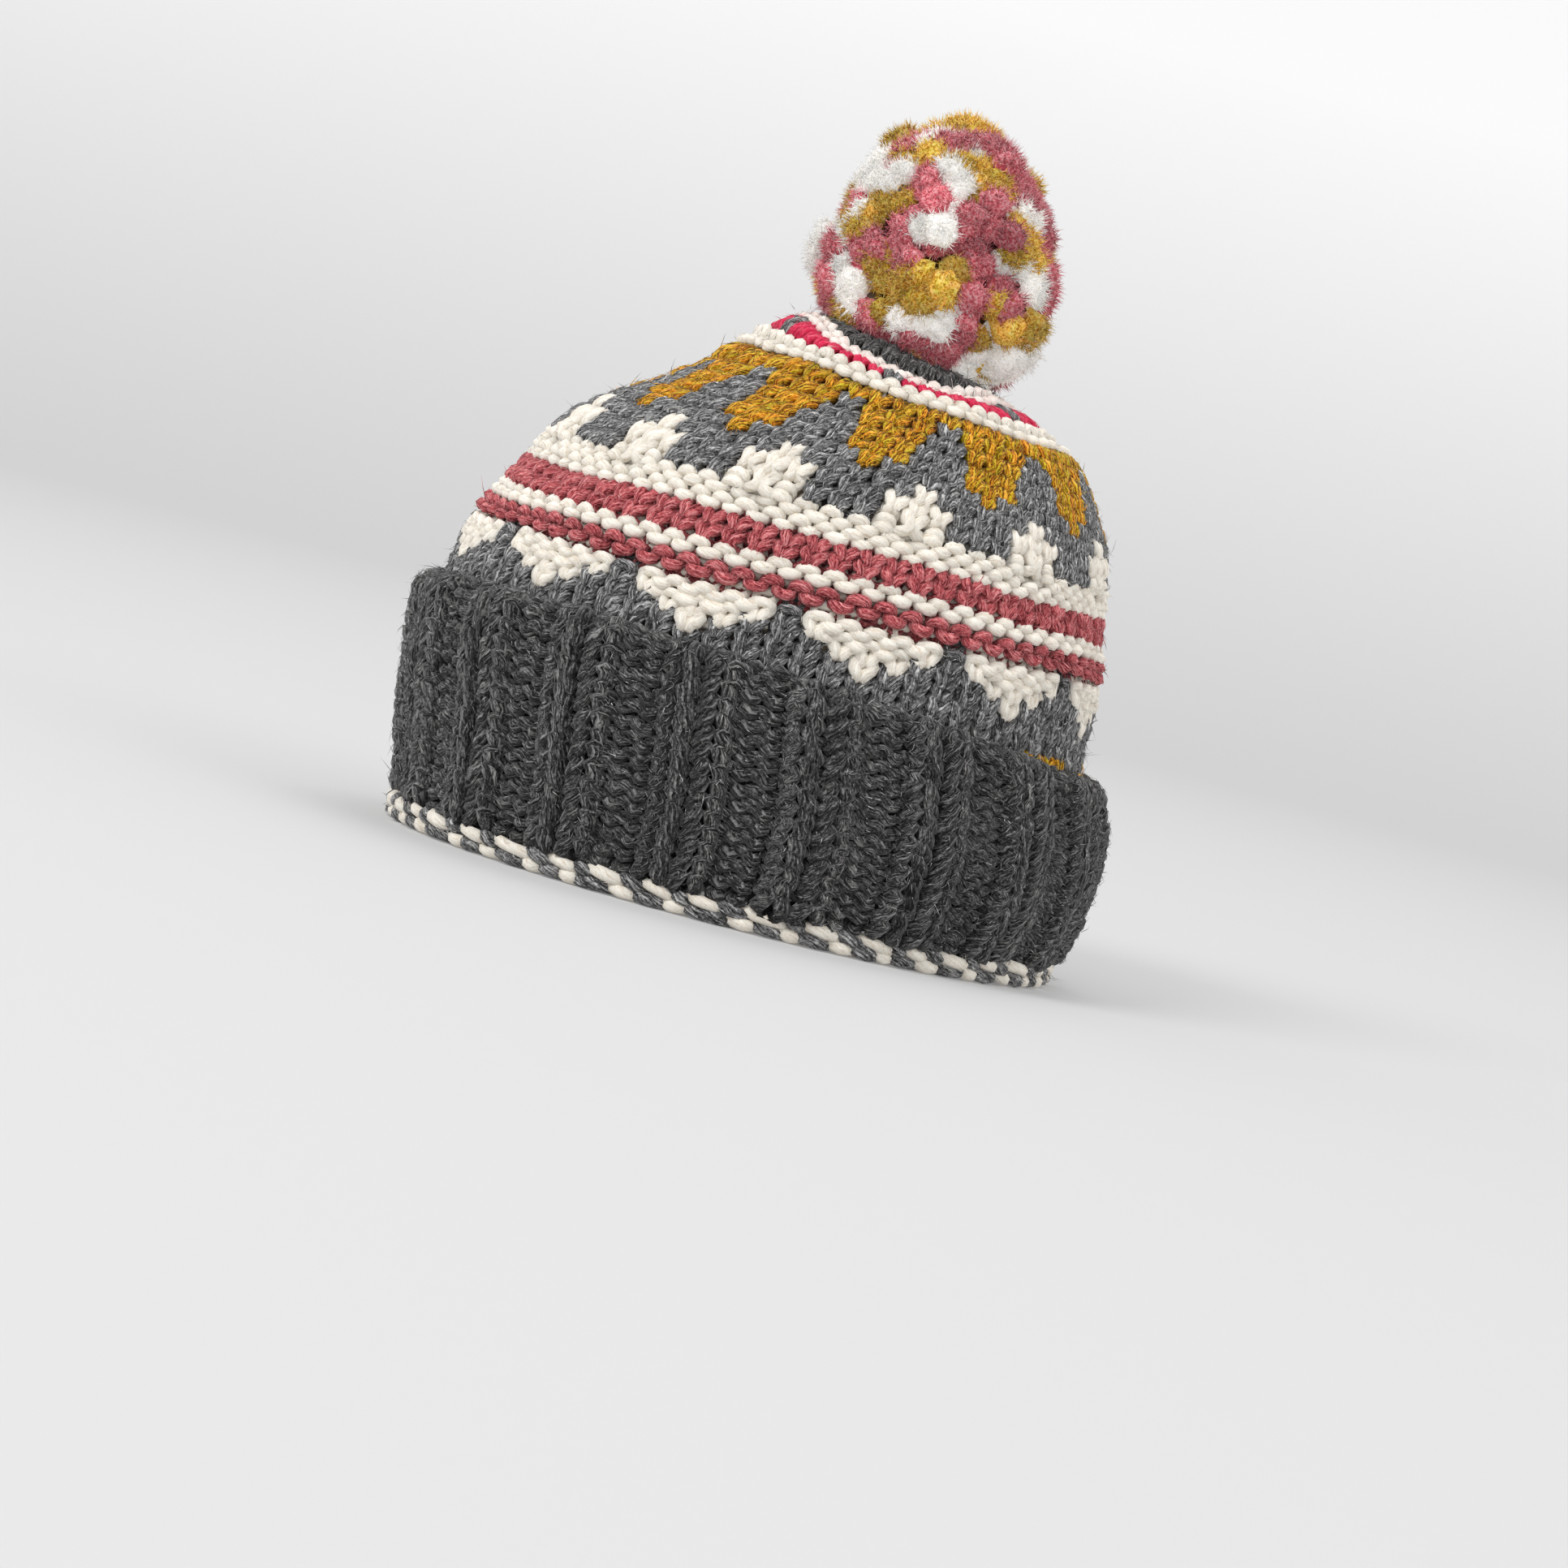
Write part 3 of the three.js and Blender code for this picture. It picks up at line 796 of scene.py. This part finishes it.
def open_run(points, first, length):
    """The points of a stretch of stitches, with ends that drop behind the next yarn's stitches."""
    count = len(points)
    index = first + np.arange(length)
    run = points[index % count].copy()
    run[:, :, 0] += (index - index % count)[:, None]
    end = points[(first + length) % count, :1].copy()
    end[0, 0] = first + length - 0.5
    run = np.concatenate([run.reshape(-1, 4), end])
    run[[0, -1], 2] = TUCK_START
    tails = run[[0, -1]] + np.array([[-TUCK_LENGTH, 0, -TUCK_DEPTH, 0], [TUCK_LENGTH, 0, -TUCK_DEPTH, 0]])
    return np.concatenate([tails[:1], run, tails[1:]])


def lay_row(skins, yarns, surface, rise, points, colours, to_angle, hidden, fuzz=None):
    """Lays a row's loops on a surface, each yarn in its own skin. Its fibres go there, or into fuzz."""
    count = len(points)
    for first, length, whole in colour_runs(colours):
        key = colours[first % count]
        _, _, thick, most_steps, *fibres = yarns[key]
        steps = 1 if hidden else most_steps
        if whole:
            curve = closed_curve(points.reshape(-1, 4), count, steps)
        else:
            curve = upsampled(open_run(points, first, length), steps)
        path, out = on_surface(surface, rise, to_angle(curve[:, 0]), curve[:, 1], curve[:, 2])
        for _ in range(steps - 1):
            path = softened(path, whole)
        n = len(curve)
        place = np.arange(n) / PATCH_POINTS
        swell = np.interp(place, np.arange(n), chance.normal(1, YARN_UNEVENNESS, n))
        radius = thick * curve[:, 3] * swell
        shade = np.interp(place, np.arange(n), chance.uniform(*YARN_SHADES, n))
        # painted shade: yarn deeper in the fabric, in the crevices, is darkened
        shade += DEPTH_SHADE * (np.clip(curve[:, 2], *SHADED_DEPTHS) - USUAL_DEPTH)
        ways = add_tube(skins[key], path, out, radius, whole, shade, TUBE_SIDES)
        if not hidden:
            add_fuzz(fuzz or skins[key], path, ways, radius, curve[:, 2] > SEEN_DEPTH, *fibres)


def crown_angle(count):
    """How a column of a row with this many stitches turns into an angle."""
    return lambda column: np.radians(CROWN_PHASE + 360 * column / count)


def knit_crown(skins):
    """Lays all the crown's rows, from the rim up."""
    for i, (count, tall, _, yarns, stitches) in enumerate(CROWN_ROWS):
        own = stitch_signs(stitches, count)
        same = i + 1 < len(CROWN_ROWS) and CROWN_ROWS[i + 1][0] == count
        above = stitch_signs(CROWN_ROWS[i + 1][4], count) if same else np.ones(count)
        low = ROW_EDGES[i] - (LOOP_REACH * tall if own.sum() > 0 else RIDGE_REACH)
        high = ROW_EDGES[i + 1] + (LOOP_REACH * tall if above.sum() > 0 else RIDGE_REACH)
        points = loop_points(count, low, high, own, above, tall < SHORT_ROW)
        colours = [yarns[c % len(yarns)] for c in range(count)]
        hidden = i < len(HIDDEN_ROWS) - 1
        to_angle = crown_angle(count)
        lay_row(skins, YARNS, crown_surface, CROWN_RISE, points, colours, to_angle, hidden)


def cuff_angle(column):
    """The angle of a column of the cuff, where each pair of knit stitches spreads a little."""
    middle = column - 0.5
    crowd = RIB_SPREAD * np.sin(np.pi / 2 * middle)
    return np.radians(RIB_ANGLE + 360 / CUFF_COLUMNS * middle + crowd)


def knit_cuff(skin, fuzz):
    """Lays the cuff's rows, with their loose fibres in a skin of their own."""
    own = stitch_signs("kkpp", CUFF_COLUMNS)
    for row in range(-CUFF_TOP_ROWS, CUFF_ROWS):
        foot = -row + CUFF_REACH
        head = -row - 1 - CUFF_REACH
        points = loop_points(CUFF_COLUMNS, foot, head, own, own, False)
        points[:, :, 3] *= np.where(own > 0, CUFF_KNIT_SWELL, 1)[:, None]
        colours = "K" * CUFF_COLUMNS
        hidden = row < -1
        yarns = {"K": CUFF_YARN}
        lay_row({"K": skin}, yarns, cuff_surface, CUFF_RISE, points, colours, cuff_angle, hidden, fuzz)


def core_shell(surface, rise, angle, height, depths, tint):
    """A thin closed wall at two depths in a fabric, which shows between the loops."""
    grid_angle, grid_height = np.meshgrid(angle, height)
    faces_at = (np.full_like(grid_angle, depth) for depth in depths)
    grids = [on_surface(surface, rise, grid_angle, grid_height, depth)[0] for depth in faces_at]
    rows, columns = grid_angle.shape
    count = rows * columns
    outer, _, _ = ring_faces(rows, columns, False)
    k = np.arange(columns)
    m = (k + 1) % columns
    low = np.stack([k, m, m + count, k + count], 1)
    high = np.stack([k, k + count, m + count, m], 1) + (rows - 1) * columns
    points = np.concatenate([grid.reshape(-1, 3) for grid in grids])
    skin = Skin()
    faces = np.concatenate([outer[:, ::-1], outer + count, low, high])
    skin.add(points, faces, None, 0.5, np.concatenate([tint.reshape(-1, 3)] * 2))
    return skin


def crown_core():
    """The shell in the crown, in darkened colours of its rows, which paint the shade between the loops.
    """
    angle = crown_angle(CORE_COLUMNS)(np.arange(CORE_COLUMNS))
    edges = ROW_EDGES.copy()
    edges[0] += 1
    tint = np.zeros((len(edges), CORE_COLUMNS, 3))
    for i in range(len(edges)):
        count, _, _, yarns, _ = CROWN_ROWS[min(i, len(CROWN_ROWS) - 1)]
        for c in range(CORE_COLUMNS):
            tint[i, c] = CORE_SHADE_TINTS[yarns[int(c * count / CORE_COLUMNS) % len(yarns)]]
    return core_shell(crown_surface, CROWN_RISE, angle, edges, CROWN_CORE_DEPTHS, tint)


def cuff_core():
    """The shell in the cuff, darkened as painted shade between the loops."""
    angle = cuff_angle(np.arange(CUFF_COLUMNS))
    height = np.arange(CUFF_TOP_ROWS - 0.5, -CUFF_ROWS - 0.3, -0.5)[::-1]
    tint = np.broadcast_to(CORE_SHADE_TINTS["K"], (len(height), CUFF_COLUMNS, 3))
    return core_shell(cuff_surface, CUFF_RISE, angle, height, CUFF_CORE_DEPTHS, tint)


def braid_edge(skins):
    """The two lines of the edge. In front each yarn runs a little downwards to the right."""
    steps = EDGE_TWISTS * EDGE_STEPS
    angle = circle(steps)
    x = EDGE_MIDDLE_X + EDGE_HALF_LENGTH * np.cos(angle)
    base = np.stack([x, EDGE_HALF_WIDTH * np.sin(angle)], -1)
    slope = [np.cos(angle) / EDGE_HALF_LENGTH, np.sin(angle) / EDGE_HALF_WIDTH, 0 * angle]
    out = unit(np.stack(slope, -1))
    places = np.linspace(0, EDGE_TWISTS, steps)
    for line, (height, start, distance, stay) in enumerate(EDGE_LINES):
        drift = ripple(EDGE_DRIFT, angle, line)
        swell = 1 + ripple(EDGE_SWELL, angle, line)
        for key, (half, sign, size, fibres) in EDGE_YARNS.items():
            phase = EDGE_TWISTS * angle + 2 * np.pi * (start + half) + drift
            phase = phase - sign * stay * np.sin(phase)
            lift = chance.normal(0, EDGE_UNEVENNESS, EDGE_TWISTS)
            uneven = np.interp(places, np.arange(EDGE_TWISTS), lift)
            uneven *= np.minimum(1, np.minimum(places, EDGE_TWISTS - places))
            path = np.concatenate([base, (height + uneven - EDGE_RISE * np.sin(phase))[:, None]], 1)
            path += out * (distance + EDGE_SWING * np.cos(phase))[:, None]
            path[:, 2] = np.maximum(path[:, 2], EDGE_YARN_RADIUS + EDGE_CLEARANCE)
            front = np.cos(phase)
            radius = EDGE_YARN_RADIUS * size * swell
            # painted shade: darker where the yarn turns behind the other
            shade = 0.5 + EDGE_SHADE * (front - 0.6)
            ways = add_tube(skins[key], path, out, radius, True, shade, sides=7)
            seen = front > -0.3
            add_fuzz(skins[key], path, ways, radius, seen, fibres, long_rate=0.5, bright=0.9)


def sphere_places(count):
    """Evenly spread directions."""
    i = np.arange(count) + 0.5
    z = 1 - 2 * i / count
    turn = math.pi * (1 + math.sqrt(5)) * i
    r = np.sqrt(1 - z**2)
    return np.stack([r * np.cos(turn), r * np.sin(turn), z], -1)


def cluster_yarns(middles):
    """A yarn for each cluster, mostly not that of the clusters round it."""
    near = np.argsort(-(middles @ middles.T), axis=1)[:, 1:7]
    share = np.array([share for _, share in POMPOM_YARNS])
    yarns = np.full(CLUSTERS, -1)
    for i in chance.permutation(CLUSTERS):
        crowd = np.array([(yarns[near[i]] == k).sum() for k in range(len(share))])
        odds = share * np.exp(-CLUSTER_CROWDING * crowd)
        yarns[i] = chance.choice(len(share), p=odds / odds.sum())
    return yarns


def tuft_plan():
    """Directions, tips and yarns of the tufts, in clusters of one yarn and height."""
    toward = unit(sphere_places(TUFTS) + chance.normal(0, 0.035, (TUFTS, 3)))
    middles = unit(sphere_places(CLUSTERS) + chance.normal(0, 0.1, (CLUSTERS, 3)))
    yarns = cluster_yarns(middles)
    cluster = np.argmax(toward @ middles.T + chance.normal(0, 0.012, (TUFTS, CLUSTERS)), axis=1)
    wave = np.sin(toward @ [5, 3, 4]) * np.cos(toward @ [-3, 6, 2])
    reach = POMPOM_REACH + POMPOM_WAVE * wave
    toward = unit(toward + TUFT_GATHER * (middles[cluster] - toward))
    reach += chance.normal(0, CLUSTER_UNEVENNESS, CLUSTERS)[cluster]
    reach += chance.normal(0, TUFT_UNEVENNESS, TUFTS)
    reach += SAG_REACH * np.maximum(toward @ POMPOM_SAG, 0) ** 2
    reach += SIDE_REACH * np.maximum(toward @ POMPOM_SIDE, 0) ** 2
    low = np.maximum(-toward[:, 2], 0)
    reach += LOW_REACH * low * (1 - low**2)
    rise = (toward @ POMPOM_TOP)[:, None]
    lateral = (toward - rise * POMPOM_TOP) * (1 - POMPOM_NARROWING * np.maximum(rise, 0))
    form = POMPOM_HEIGHT * rise * POMPOM_TOP + lateral
    tips = POMPOM_MIDDLE + POMPOM_HALVES * form * reach[:, None]
    from_seat = tips[:, :2] - TIE_FOOT[:2]
    seat = SEAT_HEIGHT - SEAT_SLOPE * from_seat[:, 0]
    seated = np.linalg.norm(from_seat, axis=1) < SEAT_RADIUS
    tips[:, 2] = np.where(seated, np.maximum(tips[:, 2], seat), tips[:, 2])
    return toward, tips, [POMPOM_YARNS[yarns[i]][0] for i in cluster]


def make_pompom(skins, toward, tips, keys):
    """Tufts of cut yarn round a heart."""
    for way, tip, key in zip(toward, tips, keys):
        centre = POMPOM_MIDDLE + POMPOM_HALVES * way * 0.5
        lean = unit(unit(tip - centre) + chance.normal(0, 0.1, 3))
        add_tuft(skins[key], centre, lean, np.linalg.norm(tip - centre), HAIR_ROOT_SHADE[key])


def add_tuft(skin, foot, lean, tall, root_shade):
    """A fluffy dome of cut yarn on a stem, with hairs all over it."""
    wide = chance.uniform(*TUFT_RADII) * (0.4 + 0.6 * tall / USUAL_TUFT_HEIGHT)
    shade = chance.uniform(*TUFT_SHADES)
    side = unit(np.cross(lean, chance.normal(size=3)))
    up = np.cross(side, lean)
    oval = chance.uniform(*TUFT_OVALS)
    side = side * oval
    up = up / oval
    dome_tall = tall - TUFT_NAP
    # painted shade: the dome is darker than the hairs over it
    add_dome(skin, foot, lean, side, up, dome_tall, wide, shade + DOME_SHADE)
    n = TUFT_HAIRS
    tilt = np.arccos(chance.uniform(0.02, 1, n))[:, None]
    off = spokes(chance.uniform(0, 2 * np.pi, n), side, up)
    place = DOME_FLATNESS * np.cos(tilt) * lean + np.sin(tilt) * off
    middle = foot + lean * (dome_tall - DOME_FLATNESS * wide)
    root = middle + place * wide * chance.uniform(*HAIR_DEPTHS, (n, 1))
    heading = unit(0.5 * lean + 0.5 * unit(place) + chance.normal(0, HAIR_SWERVE, (n, 3)))
    length = chance.uniform(*HAIR_LENGTHS, n)
    thick = chance.uniform(*HAIR_RADII, n)
    shades = shade + chance.normal(0, HAIR_UNEVENNESS, n)
    add_fibres(skin, root, heading, 0 * root, length, thick, 1, shades, root_shade)


def add_dome(skin, foot, lean, side, up, tall, wide, shade):
    """A stem with an uneven round head."""
    ring = spokes(circle(TUFT_SIDES), side, up)
    levels = [((tall - wide) * share, wide * r) for share, r in TUFT_STEM]
    for a in TUFT_DOME:
        levels.append((tall - wide * DOME_FLATNESS * (1 - math.sin(a)), wide * math.cos(a)))
    uneven = chance.uniform(*DOME_UNEVENNESS, (len(levels), TUFT_SIDES, 1))
    lift = chance.normal(0, DOME_LIFT, (len(levels), TUFT_SIDES, 1))
    rings = [foot + lean * (h + d) + ring * r * u for (h, r), u, d in zip(levels, uneven, lift)]
    points = np.concatenate(rings)
    faces, i, k = ring_faces(len(levels), TUFT_SIDES, False)
    length = DOME_YARN_LENGTH * np.arange(len(levels) + 1) + chance.uniform(0, 300)
    skin.add(points, faces, ring_uv(length, i, k, TUFT_SIDES), shade)
    skin.add_faces(end_faces(TUFT_SIDES, len(points)))


def pompom_heart(toward, tips, keys):
    """A closed lumpy ball under the tufts, in their colours darkened further, as painted shade in the
    gaps between tufts.
    """
    rows, columns = 36, 60
    tilt = np.pi * (np.arange(rows) + 0.5) / rows
    t, a = np.meshgrid(tilt, circle(columns), indexing="ij")
    way = np.stack([np.sin(t) * np.cos(a), np.sin(t) * np.sin(a), -np.cos(t)], -1).reshape(-1, 3)
    nearest = np.argmax(way @ toward.T, axis=1)
    size = np.linalg.norm(tips - POMPOM_MIDDLE, axis=1)[nearest]
    points = POMPOM_MIDDLE + way * (size * chance.uniform(*HEART_REACH, len(way)))[:, None]
    faces, _, _ = ring_faces(rows, columns, False)
    tint = HEART_SHADE * np.array([CORE_SHADE_TINTS[keys[i]] for i in nearest])
    skin = Skin()
    skin.add(points, faces[:, ::-1], None, 0.5, tint)
    ends = np.arange(columns)[None]
    skin.add_faces(np.concatenate([ends[:, ::-1], ends + (rows - 1) * columns]))
    return skin


def tie_pompom():
    """Two strands through the top of the crown, with a knot inside."""
    skin = Skin()
    x, y, z = TIE_FOOT
    s = np.linspace(0, 1, TIE_POINTS)
    for turn in (0, np.pi):
        coil = turn + 2 * np.pi * TIE_TURNS * s
        path = [x + TIE_COIL * np.cos(coil), y + TIE_COIL * np.sin(coil), z + TIE_TOP - TIE_LENGTH * s]
        out = np.tile([0.3, 0.4, 0.2], (TIE_POINTS, 1))
        add_tube(skin, np.stack(path, -1), out, TIE_RADIUS, False, 0.5, sides=6)
    knot = circle(KNOT_POINTS)
    across, rise = KNOT_SWING
    far = KNOT_HALF + across * np.cos(3 * knot)
    z = z - KNOT_DEPTH + rise * np.sin(3 * knot)
    path = [x + far * np.cos(2 * knot), y + far * np.sin(2 * knot), z]
    out = np.tile([0.0, 0.0, 1.0], (KNOT_POINTS, 1))
    add_tube(skin, np.stack(path, -1), out, KNOT_RADIUS, True, 0.5, sides=7)
    return skin


def wire(made, inputs):
    """Links a node's inputs to sockets, or sets them to plain values."""
    for name, value in inputs.items():
        if isinstance(value, bpy.types.NodeSocket):
            made.id_data.links.new(value, made.inputs[name])
        else:
            made.inputs[name].default_value = value


def node(tree, kind, inputs, **settings):
    made = tree.nodes.new(kind)
    for name, value in settings.items():
        setattr(made, name, value)
    wire(made, inputs)
    return made


def calc(tree, operation, *values):
    """A number worked out from sockets and plain numbers."""
    return node(tree, "ShaderNodeMath", dict(enumerate(values)), operation=operation).outputs[0]


def noise(tree, inputs, normalize=True):
    return node(tree, "ShaderNodeTexNoise", inputs, normalize=normalize).outputs["Fac"]


def ramp(tree, value, stops):
    made = node(tree, "ShaderNodeValToRGB", {"Fac": value})
    elements = made.color_ramp.elements
    while len(elements) < len(stops):
        elements.new(0.5)
    for element, (place, *colour) in zip(elements, stops):
        element.position = place
        element.color = (*colour, 1)
    return made.outputs["Color"]


def times(tree, a, b):
    """Two colours multiplied."""
    inputs = {"Factor": 1, "A": a, "B": b}
    made = node(tree, "ShaderNodeMix", inputs, data_type="RGBA", blend_type="MULTIPLY")
    return made.outputs["Result"]


def new_material(name):
    """A new material, its nodes and its shader."""
    material = bpy.data.materials.new(name)
    material.use_nodes = True
    tree = material.node_tree
    return material, tree, tree.nodes["Principled BSDF"]


def yarn_material(name, stops, blotch, grain=2.0, flecks=0.1, bump=0.9, sheen=0.1, spread=0.3, glow=0):
    """Wool fibres that wind along the yarn. stops colour the fibres, blotch colours longer stretches."""
    material, tree, shader = new_material(name)
    place = node(tree, "ShaderNodeUVMap", {}, uv_map="Yarn").outputs["UV"]
    split = node(tree, "ShaderNodeSeparateXYZ", {0: place}).outputs
    space = node(tree, "ShaderNodeTexCoord", {}).outputs["Object"]
    wander = noise(tree, {"Vector": space, "Scale": 260, "Detail": 1})
    turn = calc(tree, "MULTIPLY", split["Y"], 2 * math.pi)
    strayed = calc(tree, "MULTIPLY_ADD", wander, YARN_STRAY, turn)
    wind = calc(tree, "MULTIPLY_ADD", split["X"], YARN_TWIST, strayed)
    length = calc(tree, "MULTIPLY", split["X"], YARN_NOISE_LENGTH)
    spot = node(tree, "ShaderNodeCombineXYZ", {"X": YARN_NOISE_RADIUS, "Z": length}).outputs[0]
    turned = {"Vector": spot, "Angle": wind}
    wound = node(tree, "ShaderNodeVectorRotate", turned, rotation_type="Z_AXIS").outputs[0]
    strands = {"Vector": wound, "Scale": grain, "Detail": 2.5, "Roughness": 0.7, "Distortion": 0.7}
    specks = noise(tree, {"Vector": space, "Scale": 1300, "Detail": 1.5}, normalize=False)
    wool = calc(tree, "MULTIPLY_ADD", specks, flecks, noise(tree, strands))
    patches = noise(tree, {"Vector": wound, "Scale": 0.9, "Detail": 1})
    dyed = times(tree, ramp(tree, wool, stops), ramp(tree, patches, blotch))
    # The shade attribute holds random tone, and painted shade of crevices, edge crossings, domes and hair
    # roots
    shade = node(tree, "ShaderNodeAttribute", {}, attribute_name="shade").outputs["Fac"]
    levels = {"Value": shade, "To Min": 1 - spread, "To Max": 1 + spread}
    level = node(tree, "ShaderNodeMapRange", levels, clamp=False).outputs["Result"]
    colour = times(tree, dyed, level)
    relief = node(tree, "ShaderNodeBump", {"Strength": bump, "Distance": 0.0006, "Height": wool})
    wire(shader, {
        "Base Color": colour,
        "Roughness": 0.85,
        "Specular IOR Level": 0.1,
        "Sheen Weight": sheen,
        "Sheen Roughness": 0.4,
        # painted light: the glow makes the wool give off light in its own colour
        "Emission Color": colour,
        "Emission Strength": glow,
        "Normal": relief.outputs["Normal"],
    })
    return material


def core_material():
    """Wool between the loops, in darkened colours that the mesh carries, as painted shade."""
    material, tree, shader = new_material("fabric_core")
    tint = node(tree, "ShaderNodeAttribute", {}, attribute_name="tint").outputs["Color"]
    patches = ramp(tree, noise(tree, {"Scale": 1500}), ((0.3, 0.7, 0.7, 0.7), (0.7, 1, 1, 1)))
    wire(shader, {
        "Base Color": times(tree, tint, patches),
        "Roughness": 0.95,
        "Specular IOR Level": 0.1,
    })
    return material


def make_camera():
    """Looks at the middle of the hat, with the picture's lean."""
    ahead = (AIM - EYE).normalized()
    level = ahead.cross(Vector((0, 0, 1))).normalized()
    upright = level.cross(ahead)
    lean = math.radians(CAMERA_LEAN)
    right = math.cos(lean) * level + math.sin(lean) * upright
    up = math.cos(lean) * upright - math.sin(lean) * level
    data = bpy.data.cameras.new("camera")
    data.lens = 101.5
    data.sensor_width = 36
    data.clip_start = 0.05
    data.clip_end = 50
    camera = put_in_scene("camera", data)
    camera.matrix_world = Matrix.Translation(EYE) @ Matrix((right, up, -ahead)).transposed().to_4x4()
    bpy.context.scene.camera = camera


def stage_material():
    """Pale paper that glows more where it curves away from the lamps, so that it looks even."""
    material, tree, shader = new_material("stage")
    place = node(tree, "ShaderNodeNewGeometry", {}).outputs["Position"]
    height = node(tree, "ShaderNodeSeparateXYZ", {0: place}).outputs["Z"]
    glow = node(tree, "ShaderNodeMapRange", {
        "Value": height,
        "From Max": STAGE_WALL_HEIGHT,
        "To Min": STAGE_FLOOR_GLOW,
        "To Max": STAGE_WALL_GLOW,
    })
    wire(shader, {
        "Base Color": (0.45, 0.45, 0.45, 1),
        "Roughness": 0.9,
        "Specular IOR Level": 0,
        "Emission Color": (1, 1, 1, 1),
        "Emission Strength": glow.outputs["Result"],
    })
    return material


def make_stage():
    """A round floor that curves up into a wall, so no horizon shows."""
    edge = STAGE_FLAT[-1]
    bend = [(math.sin(a), 1 - math.cos(a)) for a in np.linspace(0.1, math.pi / 2, 14)]
    profile = [(r, 0) for r in STAGE_FLAT]
    profile += [(edge + STAGE_BEND * out, STAGE_BEND * up) for out, up in bend]
    profile += [(edge + STAGE_BEND, z) for z in STAGE_TOPS]
    turn = circle(STAGE_COLUMNS)
    rings = [np.stack([r * np.cos(turn), r * np.sin(turn), 0 * turn + z], -1) for r, z in profile]
    points = np.concatenate([[(0, 0, 0)]] + rings)
    faces = [(0, 1 + k, 1 + (k + 1) % STAGE_COLUMNS) for k in range(STAGE_COLUMNS)]
    quads, _, _ = ring_faces(len(rings), STAGE_COLUMNS, False)
    faces += [tuple(int(c) + 1 for c in quad) for quad in quads]
    mesh = bpy.data.meshes.new("stage")
    mesh.from_pydata(points.tolist(), [], faces)
    mesh.polygons.foreach_set("use_smooth", [True] * len(mesh.polygons))
    mesh.materials.append(stage_material())
    put_in_scene("stage", mesh)


def make_light():
    """Soft lamps round the hat, in a white room."""
    world = bpy.data.worlds.new("studio")
    bpy.context.scene.world = world
    world.use_nodes = True
    wire(world.node_tree.nodes["Background"], {"Color": (1, 1, 1, 1), "Strength": 0.6})
    for name, place, size, energy in LAMPS:
        lamp = bpy.data.lights.new(name, "AREA")
        lamp.shape = "DISK"
        lamp.size = size
        lamp.energy = energy
        holder = put_in_scene(name, lamp)
        holder.location = place
        holder.rotation_euler = (LAMP_AIM - Vector(place)).to_track_quat("-Z", "Y").to_euler()
    bpy.context.scene.view_settings.view_transform = "Standard"


make_camera()
make_stage()
make_light()
wool = {key: yarn_material(*dye, **look) for key, (*dye, look) in YARN_DYES.items()}
core = core_material()

crown_skins = {key: Skin() for key in YARNS}
knit_crown(crown_skins)
for key, (word, slot, *_) in YARNS.items():
    crown_skins[key].object(f"crown_{word}", wool[key], slot, "crown")
crown_core().object("crown_core", core, "grey_yarn", "crown")

cuff_skin = Skin()
cuff_fuzz = Skin()
knit_cuff(cuff_skin, cuff_fuzz)
cuff_skin.object("cuff_rib", wool["K"], "charcoal_yarn", "cuff")
cuff_fuzz.object("cuff_fibres", wool["K"], "charcoal_yarn", "cuff")
cuff_core().object("cuff_core", core, "charcoal_yarn", "cuff")

edge_skins = {"W": Skin(), "g": Skin()}
braid_edge(edge_skins)
edge_skins["W"].object("edge_cream", wool["W"], "braid_yarn", "edge_braid")
edge_skins["g"].object("edge_grey", wool["g"], "braid_yarn", "edge_braid")

pompom_skins = {"W": Skin(), "R": Skin(), "M": Skin()}
plan = tuft_plan()
make_pompom(pompom_skins, *plan)
for key, (*dye, look) in LIT_TUFT_DYES.items():
    tufts = yarn_material(*dye, **look)
    pompom_skins[key].object(f"pompom_{YARNS[key][0]}", tufts, "pompom_yarn", "pompom")
pompom_heart(*plan).object("pompom_heart", core, "pompom_yarn", "pompom")

tie_pompom().object("pompom_tie_yarn", wool["K"], "charcoal_yarn", "pompom_tie")
